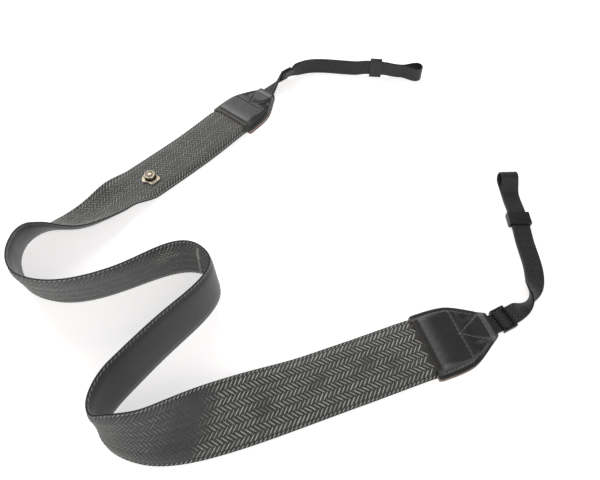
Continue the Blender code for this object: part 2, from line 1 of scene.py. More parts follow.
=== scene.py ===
"""Finish of a strap that lies in turns: woven neck band, leather tabs, webbing, fittings and badge.

Each sub-assembly is a class that holds its sizes, builds its meshes around the solids of the frame
(metres, +Z up, +Y away from the viewer) and dresses them. Floats of yarn and stitches are laid out
flat first, along and across a surface, and then wrapped on it.
"""

from __future__ import annotations

import json
import logging
from dataclasses import astuple, dataclass, field
from enum import Enum
from typing import Iterable, NamedTuple, Sequence

import bmesh
import bpy
import numpy as np
from mathutils import Matrix, Vector

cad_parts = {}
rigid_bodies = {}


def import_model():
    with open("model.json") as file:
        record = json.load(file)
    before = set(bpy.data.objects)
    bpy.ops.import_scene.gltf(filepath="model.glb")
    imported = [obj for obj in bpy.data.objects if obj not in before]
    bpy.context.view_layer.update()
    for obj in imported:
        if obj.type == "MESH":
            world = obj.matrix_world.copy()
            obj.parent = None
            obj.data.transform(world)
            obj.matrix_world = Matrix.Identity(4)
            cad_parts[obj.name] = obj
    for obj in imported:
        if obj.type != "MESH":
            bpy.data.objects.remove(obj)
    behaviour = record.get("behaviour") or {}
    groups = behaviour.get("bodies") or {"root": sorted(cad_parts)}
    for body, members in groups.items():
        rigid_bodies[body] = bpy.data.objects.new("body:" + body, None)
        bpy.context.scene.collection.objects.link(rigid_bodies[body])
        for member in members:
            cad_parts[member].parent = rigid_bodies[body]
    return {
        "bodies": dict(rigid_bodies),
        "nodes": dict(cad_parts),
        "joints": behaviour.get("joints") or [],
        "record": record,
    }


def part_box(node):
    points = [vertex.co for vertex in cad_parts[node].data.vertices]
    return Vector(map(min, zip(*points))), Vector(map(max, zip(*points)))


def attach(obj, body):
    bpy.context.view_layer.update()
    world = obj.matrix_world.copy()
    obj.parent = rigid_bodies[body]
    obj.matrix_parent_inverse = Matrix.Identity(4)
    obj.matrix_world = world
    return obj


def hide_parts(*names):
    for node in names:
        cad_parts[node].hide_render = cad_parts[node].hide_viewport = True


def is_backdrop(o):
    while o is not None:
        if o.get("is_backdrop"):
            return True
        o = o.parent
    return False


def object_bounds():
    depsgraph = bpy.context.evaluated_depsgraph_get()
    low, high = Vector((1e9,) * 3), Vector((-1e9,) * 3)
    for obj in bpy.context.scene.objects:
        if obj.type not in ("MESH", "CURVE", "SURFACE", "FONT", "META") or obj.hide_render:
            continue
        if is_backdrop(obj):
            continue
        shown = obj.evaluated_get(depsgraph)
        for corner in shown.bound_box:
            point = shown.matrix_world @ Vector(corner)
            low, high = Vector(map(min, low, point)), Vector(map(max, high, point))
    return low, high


LOG = logging.getLogger("strap")
Array = np.ndarray
Colour = tuple[float, float, float]

MM = 0.001
GAP = 0.0003  # between pieces that touch
LEATHER = 0.0013  # thickness of the tabs' leather
CLASP_HEIGHT = LEATHER + GAP
FINE = 1500  # samples that a route is measured with


class Side(Enum):
    """The two ends of the strap, as the viewer sees them."""

    LEFT = "left"
    RIGHT = "right"


class Slot(Enum):
    """The record's material slots."""

    HERRINGBONE = "herringbone"
    BACKING = "backing"
    LEATHER = "leather"
    WEBBING = "webbing"
    PLASTIC = "plastic"
    BRASS = "brass"


def srgb(*levels: float) -> Colour:
    """A display colour as linear values.

    Args:
        *levels: Red, green and blue, 0 to 255.

    Returns:
        The same colour in linear light, 0 to 1.
    """
    shares = np.array(levels) / 255
    linear = np.where(shares <= 0.04045, shares / 12.92, ((shares + 0.055) / 1.055) ** 2.4)
    return tuple(float(share) for share in linear)


# Layout of the solids


class BandRow(NamedTuple):
    """A place along the band's resting edge, as shares of the band's length, and its cross-section."""

    place: str
    x: float
    y: float
    lean: float  # degrees: 0 lies flat, 90 stands on the resting edge
    curl: float  # degrees that the section turns from edge to edge


BAND_ROWS = (
    BandRow("left tab", -0.0535, 0.185, 0, 0),
    BandRow("first run, far end", -0.0765, 0.159, 0, 0),
    BandRow("first run, middle", -0.130, 0.104, 0, 0),
    BandRow("first run, past the badge", -0.1625, 0.0715, 0, 8),
    BandRow("first run, near end", -0.185, 0.047, 2, 75),
    BandRow("left turn lifts", -0.204, 0.026, 17, 78),
    BandRow("left turn, far side", -0.239, -0.006, 48.5, 35),
    BandRow("left turn, middle", -0.248, -0.028, 59, 3),
    BandRow("left turn, near side", -0.242, -0.054, 73, 0),
    BandRow("second run stands", -0.209, -0.081, 96, 0),
    BandRow("second run, middle", -0.141, -0.074, 100, 0),
    BandRow("right turn, far side", -0.065, -0.063, 90, 0),
    BandRow("right turn, near side", -0.055, -0.074, 90, 0),
    BandRow("third run, far end", -0.086, -0.133, 95, 6),
    BandRow("third run, near end", -0.117, -0.168, 95, 10),
    BandRow("near turn, far side", -0.135, -0.205, 79, 12),
    BandRow("near turn, middle", -0.111, -0.222, 63, 11),
    BandRow("near turn falls", -0.080, -0.226, 46, 8),
    BandRow("fourth run, near end", -0.041, -0.220, 26, 4),
    BandRow("fourth run, middle", 0.0385, -0.197, 0, 0),
    BandRow("right tab", 0.160, -0.1595, 0, 0),
)


TAB_ROWS = (  # places from the wide end as shares of the length, and widths: 0 the mouth's, 1 that end's
    (0.0, 0.94), (0.02, 0.98), (0.07, 1.0), (0.18, 1.0), (0.30, 0.99), (0.42, 0.95),
    (0.50, 0.90), (0.53, 0.87), (0.58, 0.80), (0.64, 0.70), (0.71, 0.56), (0.79, 0.39),
    (0.88, 0.19), (0.96, 0.03), (1.0, -0.07),
)

PADDING_ALONG = (  # places from the wide end as shares of the overlap, and shares of the padding
    (0.0, 0.0), (0.105, 0.0), (0.165, 0.85), (0.26, 1.0), (0.45, 0.85), (0.70, 0.4),
    (0.93, 0.0), (1.0, 0.0),
)
PADDING_ACROSS = (  # the same across, as shares of the band's half width
    (0.0, 1.0), (0.74, 1.0), (0.93, 0.0), (1.05, 0.0),
)


class WebbingRow(NamedTuple):
    """A place on a webbing's middle line, from the tab's mouth, as shares of the run, and its lean."""

    place: str
    ahead: float
    aside: float
    lean: float  # degrees that the right-hand edge has risen: 180 is turned over


WEBBING_ROWS = {
    Side.LEFT: (
        WebbingRow("mouth", 0.0, 0.0, 0),
        WebbingRow("before the slider", 0.082, 0.005, 26),
        WebbingRow("into the slider", 0.120, 0.000, 58),
        WebbingRow("out of the slider", 0.186, -0.012, 62),
        WebbingRow("stands", 0.246, -0.022, 88),
        WebbingRow("bend", 0.295, -0.045, 98),
        WebbingRow("after the bend", 0.350, -0.098, 103),
        WebbingRow("along the surface", 0.420, -0.207, 103),
        WebbingRow("keeper", 0.590, -0.480, 91),
        WebbingRow("lug loop", 0.680, -0.625, 90),
    ),
    Side.RIGHT: (
        WebbingRow("mouth", 0.0, 0.0, 0),
        WebbingRow("into the slider", 0.045, 0.005, 0),
        WebbingRow("out of the slider", 0.110, 0.014, 2),
        WebbingRow("near edge lifts", 0.150, 0.020, 16),
        WebbingRow("near edge rises", 0.180, 0.027, 52),
        WebbingRow("stands", 0.208, 0.040, 90),
        WebbingRow("comes over", 0.248, 0.070, 132),
        WebbingRow("nearly flat", 0.292, 0.110, 164),
        WebbingRow("turned over", 0.331, 0.166, 177),
        WebbingRow("lies flat", 0.379, 0.293, 180),
        WebbingRow("keeper", 0.485, 0.611, 180),
        WebbingRow("lug loop", 0.528, 0.744, 180),
    ),
}


def natural_spline(knots: Array, values: Array, at: Array) -> Array:
    """A cubic through the values that bends freely at its ends.

    Args:
        knots: Rising places of the values.
        values: One for each knot.
        at: Places to read.

    Returns:
        The curve's value at each place.
    """
    count, step = len(knots), np.diff(knots)
    system, wanted = np.eye(count), np.zeros(count)
    for i in range(1, count - 1):
        system[i, i - 1 : i + 2] = step[i - 1], 2 * (step[i - 1] + step[i]), step[i]
        slopes = np.diff(values[i - 1 : i + 2]) / step[i - 1 : i + 1]
        wanted[i] = 6 * (slopes[1] - slopes[0])
    bend = np.linalg.solve(system, wanted)
    k = np.clip(np.searchsorted(knots, at) - 1, 0, count - 2)
    a, b = (knots[k + 1] - at) / step[k], (at - knots[k]) / step[k]
    curved = ((a**3 - a) * bend[k] + (b**3 - b) * bend[k + 1]) * step[k] ** 2 / 6
    return a * values[k] + b * values[k + 1] + curved


def eased_spline(knots: Array, values: Array, at: Array) -> Array:
    """A cubic through the values that never overshoots them.

    Args:
        knots: Rising places of the values.
        values: One for each knot.
        at: Places to read.

    Returns:
        The curve's value at each place.
    """
    step = np.diff(knots)
    slope = np.diff(values) / step
    tangent = np.concatenate([slope[:1], np.zeros(len(knots) - 2), slope[-1:]])
    for i in range(1, len(knots) - 1):
        if slope[i - 1] * slope[i] > 0:
            first, second = 2 * step[i] + step[i - 1], step[i] + 2 * step[i - 1]
            tangent[i] = (first + second) / (first / slope[i - 1] + second / slope[i])
    k = np.clip(np.searchsorted(knots, at) - 1, 0, len(knots) - 2)
    s = (at - knots[k]) / step[k]
    start = (2 * s**3 - 3 * s**2 + 1) * values[k] + (s**3 - 2 * s**2 + s) * step[k] * tangent[k]
    end = (3 * s**2 - 2 * s**3) * values[k + 1] + (s**3 - s**2) * step[k] * tangent[k + 1]
    return start + end


def smooth_step(x: Array) -> Array:
    """A share from 0 to 1 that starts and ends gently."""
    x = np.clip(x, 0, 1)
    return x * x * (3 - 2 * x)


def arc_lengths(points: Array) -> Array:
    """How far along a line each of its points lies."""
    return np.concatenate([[0], np.cumsum(np.linalg.norm(np.diff(points, axis=0), axis=1))])


def unit(vectors: Array) -> Array:
    """The vectors at length 1."""
    return vectors / np.linalg.norm(vectors, axis=-1, keepdims=True)


def read_columns(route: Array, columns: Array, at: Array) -> Array:
    """Columns of values read between the samples of a route."""
    return np.stack([np.interp(at, route, columns[:, i]) for i in range(columns.shape[1])], axis=-1)


def both_sides(half: Sequence[float], width: float) -> Array:
    """Places across a width, mirrored from those between one edge and its middle."""
    near = np.array(half)
    return np.concatenate([near, width - near[::-1]])


@dataclass
class BandLayout:
    """The neck band's layout: a ribbon carried by the edge that rests on the surface."""

    length: float = 0.700
    width: float = 0.038
    face: float = 0.0014
    backing: float = 0.0014
    ramp: float = 0.045  # over which an end of the band rises into its tab
    tab_overlap: float = 0.023
    strips: int = 38
    shift: Array = field(default_factory=lambda: np.zeros(3))

    def __post_init__(self) -> None:
        """Lays the resting edge through its rows."""
        rows = np.array([row[1:3] for row in BAND_ROWS])
        knots = arc_lengths(rows)
        at = np.linspace(0, knots[-1], FINE)
        edge = np.stack([natural_spline(knots, rows[:, i], at) for i in (0, 1)], axis=-1)
        edge *= self.length / arc_lengths(edge)[-1]
        self.edge = edge
        self.route = arc_lengths(edge)
        lean = eased_spline(knots, np.array([row.lean for row in BAND_ROWS]), at)
        curl = eased_spline(knots, np.array([row.curl for row in BAND_ROWS]), at)
        self.turns = np.radians(np.stack([lean, curl], axis=-1))
        self.ahead = unit(np.gradient(edge, axis=0))

    @property
    def thickness(self) -> float:
        """Of the backing, the face and the gap between them."""
        return self.backing + GAP + self.face

    def lift(self, at: Array) -> Array:
        """How high the resting edge is: an end lies on its tab's lower leather."""
        from_end = np.minimum(at, self.length - at)
        return CLASP_HEIGHT * (1 - smooth_step((from_end - self.tab_overlap) / self.ramp))

    def underside(self, at: Array) -> Array:
        """The band's underside.

        Args:
            at: Places along the band.

        Returns:
            Points, places by strips across.
        """
        edge = read_columns(self.route, self.edge, at)
        ahead = read_columns(self.route, self.ahead, at)
        lean, curl = read_columns(self.route, self.turns, at).T
        left = unit(np.stack([-ahead[:, 1], ahead[:, 0]], axis=-1))
        across = np.linspace(0, 1, self.strips + 1)
        middles = (across[1:] + across[:-1]) / 2
        angle = lean[:, None] + curl[:, None] * (middles - 0.5)
        step = self.width / self.strips
        out = np.cumsum(np.pad(step * np.cos(angle), ((0, 0), (1, 0))), axis=1)
        up = np.cumsum(np.pad(step * np.sin(angle), ((0, 0), (1, 0))), axis=1)
        facing = lean[:, None] + curl[:, None] * (across - 0.5)
        lowest = np.minimum(up, up + self.thickness * np.cos(facing)).min(axis=1)
        up += (self.lift(at) - np.minimum(lowest, 0))[:, None]
        plan = edge[:, None, :] + left[:, None, :] * out[:, :, None]
        return np.concatenate([plan, up[:, :, None]], axis=2) + self.shift

    def place(self, at: Array, across: Array, height: Array) -> tuple[Array, Array]:
        """Points on, over or under the band.

        Args:
            at: Places along the band.
            across: Places across it, from the resting edge.
            height: Height over the underside, for each place across or for the whole grid.

        Returns:
            The points and the directions that they face, places along by places across.
        """
        under = self.underside(at)
        step = self.length / FINE
        before = self.underside(np.clip(at - step, 0, self.length))
        after = self.underside(np.clip(at + step, 0, self.length))
        square = unit(np.cross(after - before, np.gradient(under, axis=1)))
        strip = np.clip(across / self.width * self.strips, 0, self.strips)
        first = np.minimum(strip.astype(int), self.strips - 1)
        share = (strip - first)[None, :, None]
        point = under[:, first] * (1 - share) + under[:, first + 1] * share
        facing = unit(square[:, first] * (1 - share) + square[:, first + 1] * share)
        return point + facing * np.broadcast_to(height, point.shape[:2])[:, :, None], facing

    def end_frame(self, side: Side) -> Matrix:
        """The middle of an end of the band on the surface.

        Args:
            side: Which end.

        Returns:
            A matrix with X outward along the band and Z up.
        """
        at = np.array([self.length if side is Side.RIGHT else 0.0])
        first, last = self.underside(at)[0, [0, -1]]
        cross = last - first if side is Side.RIGHT else first - last
        aside = Vector((cross[0], cross[1], 0)).normalized()
        frame = Matrix((aside.cross(Vector((0, 0, 1))), aside, (0, 0, 1))).transposed().to_4x4()
        middle = (first + last) / 2
        frame.translation = (middle[0], middle[1], 0)
        return frame


@dataclass
class Fitting:
    """Where a slider or keeper sits on the webbing, and how far it reaches past the two layers."""

    start: float
    length: float
    beside: float
    below: float

    @property
    def end(self) -> float:
        """Its far end along the route."""
        return self.start + self.length

    @property
    def middle(self) -> float:
        """Its middle along the route."""
        return self.start + self.length / 2

    @property
    def reach(self) -> float:
        """Half of the straight stretch that it holds."""
        return self.length / 2 + 2 * GAP

    def past(self, at: Array) -> Array:
        """How far places are beyond that stretch."""
        return np.abs(at - self.middle) - self.reach


@dataclass
class WebbingLayout:
    """One strip that leaves the tab, goes round an open loop and comes back to end past the slider."""

    side: Side
    tab_frame: Matrix
    run: float
    slider_start: float
    loop_bias: float
    width: float = 0.012
    thickness: float = 0.0009
    insert: float = 0.019
    tail_end: float = 0.0035
    loop_radius: float = 0.0046
    loop_lead: float = 0.013
    fit: float = 0.0003
    rail: float = 0.0012
    slider_length: float = 0.0096
    slider_bar: float = 0.0014
    bar_height: float = 0.0009
    keeper_length: float = 0.010
    keeper_wall: float = 0.0010
    keeper_from_tip: float = 0.045
    ramp: float = 0.014
    mouth: float = 0.022  # of the tab beyond the band's end
    route_steps: int = 110
    lead_steps: int = 12  # over which the layers part
    arc_steps: int = 28  # round the loop

    def __post_init__(self) -> None:
        """Lays the middle line through its rows."""
        beside = self.fit + self.rail
        self.slider = Fitting(self.slider_start, self.slider_length, beside, 0)
        start = self.run - self.keeper_from_tip
        self.keeper = Fitting(start, self.keeper_length, beside, self.fit + self.keeper_wall)
        rows = WEBBING_ROWS[self.side]
        plan = np.array([row[1:3] for row in rows])
        plan = np.concatenate([[(-self.insert / self.run, 0)], plan])
        lean = np.array([0, *(row.lean for row in rows)])
        knots = arc_lengths(plan)
        at = np.linspace(0, knots[-1], FINE)
        line = np.stack([natural_spline(knots, plan[:, i], at) for i in (0, 1)], axis=-1)
        mouth = np.searchsorted(at, knots[1])
        line *= self.run / (arc_lengths(line)[-1] - arc_lengths(line)[mouth])
        line[:, 0] += self.mouth
        self.route = arc_lengths(line) - arc_lengths(line)[mouth]
        self.lean = np.radians(eased_spline(knots, lean, at))
        turn = np.array(self.tab_frame.to_3x3())[:2, :2]
        self.line = line @ turn.T + np.array(self.tab_frame.translation)[:2]
        self.ahead = unit(np.gradient(self.line, axis=0))

    @property
    def stack(self) -> float:
        """Of the two layers and the gap between them."""
        return 2 * self.thickness + GAP

    @property
    def layer(self) -> float:
        """How far each layer lies from the middle of the two."""
        return (self.thickness + GAP) / 2

    def lift(self, at: Array, lean: Array) -> Array:
        """How far a fitting's corner, which rests on the surface, holds the webbing up.

        Args:
            at: Places along the route.
            lean: How far the webbing leans there.

        Returns:
            Heights over the surface.
        """
        lift = np.zeros_like(at)
        for fitting in (self.slider, self.keeper):
            need = fitting.beside * np.abs(np.sin(lean)) + fitting.below * np.abs(np.cos(lean))
            lift = np.maximum(lift, need * (1 - smooth_step(fitting.past(at) / self.ramp)))
        return lift

    def frames(self, at: Array) -> tuple[Array, Array, Array]:
        """The middle of the two layers.

        Args:
            at: Places along the route.

        Returns:
            The points, and the across and facing directions there.
        """
        held = at.copy()
        for fitting in (self.slider, self.keeper):
            held[fitting.past(at) < MM * MM] = fitting.middle
        plan = read_columns(self.route, self.line, held)
        ahead = unit(read_columns(self.route, self.ahead, held))
        plan += ahead * (at - held)[:, None]
        lean = np.interp(held, self.route, self.lean)
        height = self.width / 2 * np.abs(np.sin(lean)) + self.stack / 2 * np.abs(np.cos(lean))
        height += self.lift(held, lean)
        right = np.stack([ahead[:, 1], -ahead[:, 0], np.zeros_like(lean)], axis=-1)
        up = np.array((0, 0, 1))
        across = right * np.cos(lean)[:, None] + up * np.sin(lean)[:, None]
        facing = up * np.cos(lean)[:, None] - right * np.sin(lean)[:, None]
        return np.concatenate([plan, height[:, None]], axis=1), across, facing

    def through_slider(self, low: float, over: float) -> list[tuple[float, float]]:
        """A layer's way over the centre bar and under the two end bars.

        Args:
            low: Its height at the end bars.
            over: Its height at the centre bar.

        Returns:
            Steps of distance along the route and height from the middle of the layers.
        """
        start, middle, end = self.slider.start, self.slider.middle, self.slider.end
        bar = self.slider_bar / 2 + GAP
        steps = [(start, low), (start + self.slider_bar + GAP, low), (middle - bar, over)]
        return steps + [(middle + bar, over), (end - self.slider_bar - GAP, low), (end, low)]

    def lug_loop(self) -> list[tuple[float, float]]:
        """The open loop: the layers part and go round a half circle, leaning to one side by the bias.

        Returns:
            Steps of distance along the route and height from the middle of the layers.
        """
        centre = self.run - self.loop_radius - self.thickness / 2
        drop = self.loop_bias * (self.loop_radius - self.layer)
        share = np.linspace(0, 1, self.lead_steps + 1)[1:-1]
        ahead = centre - self.loop_lead + self.loop_lead * share
        outward = self.layer + (self.loop_radius - drop - self.layer) * smooth_step(share)
        back = -self.layer + (self.layer - self.loop_radius - drop) * smooth_step(share)
        turn = np.linspace(np.pi / 2, -np.pi / 2, self.arc_steps + 1)
        radius = self.loop_radius
        arc = [(centre + radius * np.cos(a), radius * np.sin(a) - drop) for a in turn]
        return [*zip(ahead, outward), *arc, *zip(ahead[::-1], back[::-1])]

    def strip_path(self) -> Array:
        """The strip's way out from the tab, round the loop and back past the slider.

        Returns:
            Steps of distance along the route and height from the middle of the layers.
        """
        in_tab = CLASP_HEIGHT + self.thickness / 2 - self.stack / 2
        bar_top = self.bar_height - self.stack / 2
        tail_over = bar_top + GAP + self.thickness / 2
        first = self.slider.middle + self.slider.reach
        last = self.run - self.loop_radius - self.thickness / 2 - self.loop_lead
        route = np.linspace(first, last, self.route_steps)
        path = [(-self.insert, in_tab), (-self.insert / 2, in_tab), (GAP, in_tab)]
        path += self.through_slider(self.layer, tail_over + 2 * self.layer)
        path += [(s, self.layer) for s in route]
        path += self.lug_loop()
        path += [(s, -self.layer) for s in route[::-1]]
        path += self.through_slider(-self.layer, tail_over)[::-1]
        path += [(self.slider.start - self.tail_end, -self.layer)]
        return np.array(path)


# Meshes


@dataclass
class Laid:
    """A surface as a grid of points, with the place of each on the flat cloth and its facing."""

    points: Array
    lay: Array
    facing: Array

    def turned_over(self, width: float) -> Laid:
        """The same surface seen from behind, with the places across counted from the other edge."""
        lay = self.lay[:, ::-1] * (1, -1, 1) + (0, width, 0)
        return Laid(self.points[:, ::-1], lay, -self.facing[:, ::-1])


def grid_faces(rows: int, columns: int, closed: bool = False) -> list[list[int]]:
    """Faces of a grid of points.

    Args:
        rows: Rows of points.
        columns: Points in each row.
        closed: Whether the last column meets the first.

    Returns:
        Four corners for each face.
    """
    index = np.arange(rows * columns).reshape(rows, columns)
    if closed:
        index = np.concatenate([index, index[:, :1]], axis=1)
    corners = (index[:-1, :-1], index[1:, :-1], index[1:, 1:], index[:-1, 1:])
    return np.stack(corners, axis=-1).reshape(-1, 4).tolist()


def add_object(name: str, data: bpy.types.ID) -> bpy.types.Object:
    """Adds an object at the origin.

    Args:
        name: Its name.
        data: Its mesh, light or camera.

    Returns:
        The object, linked to the scene.
    """
    made = bpy.data.objects.new(name, data)
    bpy.context.scene.collection.objects.link(made)
    return made


def make_object(
    name: str,
    points: Array,
    faces: Iterable[Sequence[int]],
    material: bpy.types.Material | None = None,
    layers: dict[str, Array] | None = None,
    sharp: float = 0.7,
) -> bpy.types.Object:
    """A mesh object at the origin.

    Args:
        name: The object's name.
        points: Its vertices.
        faces: Its faces, as vertex numbers.
        material: Its finish.
        layers: Values to store for each vertex, by name: numbers or vectors.
        sharp: Angle from which an edge between faces stays sharp.

    Returns:
        The object, linked to the scene.
    """
    mesh = bpy.data.meshes.new(name)
    mesh.from_pydata(points.reshape(-1, 3).tolist(), [], faces)
    for label, values in (layers or {}).items():
        vector = values.shape[-1] == 3 and values.size == points.size
        layer = mesh.attributes.new(label, "FLOAT_VECTOR" if vector else "FLOAT", "POINT")
        layer.data.foreach_set("vector" if vector else "value", values.astype(np.float32).ravel())
    if material is not None:
        mesh.materials.append(material)
    mesh.shade_smooth()
    mesh.set_sharp_from_angle(angle=sharp)
    return add_object(name, mesh)


def make_shell(
    name: str,
    top: Array,
    bottom: Array,
    material: bpy.types.Material,
    layers: dict[str, tuple[Array, Array]],
    sharp: float = 0.7,
) -> bpy.types.Object:
    """A closed wall between two grids of the same shape.

    Args:
        name: The object's name.
        top: Points of the outer side, rows by columns.
        bottom: Points of the inner side.
        material: Its finish.
        layers: Values for each vertex of the top and of the bottom, by name.
        sharp: Angle from which an edge between faces stays sharp.

    Returns:
        The object.
    """
    rows, columns = top.shape[:2]
    ring = np.concatenate([top, bottom[:, ::-1]], axis=1)
    faces = grid_faces(rows, 2 * columns, closed=True)
    last = (rows - 1) * 2 * columns
    for j in range(columns - 1):
        corners = (j, j + 1, 2 * columns - 2 - j, 2 * columns - 1 - j)
        faces.append(list(corners))
        faces.append([last + corner for corner in corners[::-1]])
    joined = {label: np.concatenate([a, b[:, ::-1]], axis=1) for label, (a, b) in layers.items()}
    return make_object(name, ring, faces, material, joined, sharp)


# Node trees


class Value:
    """A node's output, which takes part in sums and products as a number does."""

    def __init__(self, sheet: NodeSheet, socket: bpy.types.NodeSocket) -> None:
        """Keeps the output and the tree that it is in."""
        self.sheet, self.socket = sheet, socket

    def __add__(self, other: Feed) -> Value:
        """The sum."""
        return self.sheet.math("ADD", self, other)

    def __sub__(self, other: Feed) -> Value:
        """The difference."""
        return self.sheet.math("SUBTRACT", self, other)

    def __rsub__(self, other: Feed) -> Value:
        """What is left of a number."""
        return self.sheet.math("SUBTRACT", other, self)

    def __mul__(self, other: Feed) -> Value:
        """The product."""
        return self.sheet.math("MULTIPLY", self, other)

    def __truediv__(self, other: Feed) -> Value:
        """The quotient."""
        return self.sheet.math("DIVIDE", self, other)


Feed = Value | float | int | bool | str | tuple | bpy.types.ID
Feeds = dict[str | int, Feed]


class NodeSheet:
    """Writes a node tree, one node to a call."""

    def __init__(self, tree: bpy.types.NodeTree) -> None:
        """Keeps the tree that the nodes are added to."""
        self.tree = tree

    def feed(self, socket: bpy.types.NodeSocket, value: Feed) -> None:
        """Links an input to another node's output, or sets it.

        Args:
            socket: The input.
            value: What goes into it.
        """
        if isinstance(value, Value):
            self.tree.links.new(value.socket, socket)
        else:
            socket.default_value = (*value, 1.0) if socket.type == "RGBA" else value

    def node(self, kind: str, feeds: Feeds | None = None, **settings: str) -> bpy.types.Node:
        """Adds a node.

        Args:
            kind: The node's type name.
            feeds: What goes into its sockets, by name or number.
            **settings: Its own properties.

        Returns:
            The node.
        """
        made = self.tree.nodes.new(kind)
        for name, value in settings.items():
            setattr(made, name, value)
        for key, value in (feeds or {}).items():
            self.feed(made.inputs[key] if isinstance(key, int) else self.socket(made.inputs, key), value)
        return made

    @staticmethod
    def socket(sockets: Iterable[bpy.types.NodeSocket], name: str) -> bpy.types.NodeSocket:
        """The socket in use that has that name, or the first one in use where it is empty."""
        return next(socket for socket in sockets if socket.enabled and name in ("", socket.name))

    def out(self, kind: str, feeds: Feeds | None = None, output: str = "", **settings: str) -> Value:
        """Adds a node and gives its output of that name, or its first one."""
        return Value(self, self.socket(self.node(kind, feeds, **settings).outputs, output))

    def math(self, operation: str, *terms: Feed) -> Value:
        """A function of numbers."""
        return self.out("ShaderNodeMath", dict(enumerate(terms)), operation=operation)

    def vector(self, operation: str, *terms: Feed) -> Value:
        """A function of vectors."""
        return self.out("ShaderNodeVectorMath", dict(enumerate(terms)), operation=operation)

    def scaled(self, vector: Feed, factor: Feed) -> Value:
        """A vector times a number."""
        return self.out("ShaderNodeVectorMath", {0: vector, "Scale": factor}, operation="SCALE")

    def parts(self, vector: Value) -> list[Value]:
        """A vector's X, Y and Z."""
        return [Value(self, part) for part in self.node("ShaderNodeSeparateXYZ", {0: vector}).outputs]

    def joined(self, x: Feed, y: Feed, z: Feed) -> Value:
        """A vector of three numbers."""
        return self.out("ShaderNodeCombineXYZ", {0: x, 1: y, 2: z})


@dataclass
class FloatShape:
    """A rounded lozenge, one float of yarn or one stitch, in the order of a tree's first inputs."""

    length: float
    width: float
    height: float
    sink: float = 0.0001  # of its underside into the cloth
    along: int = 5  # points along it
    across: int = 4


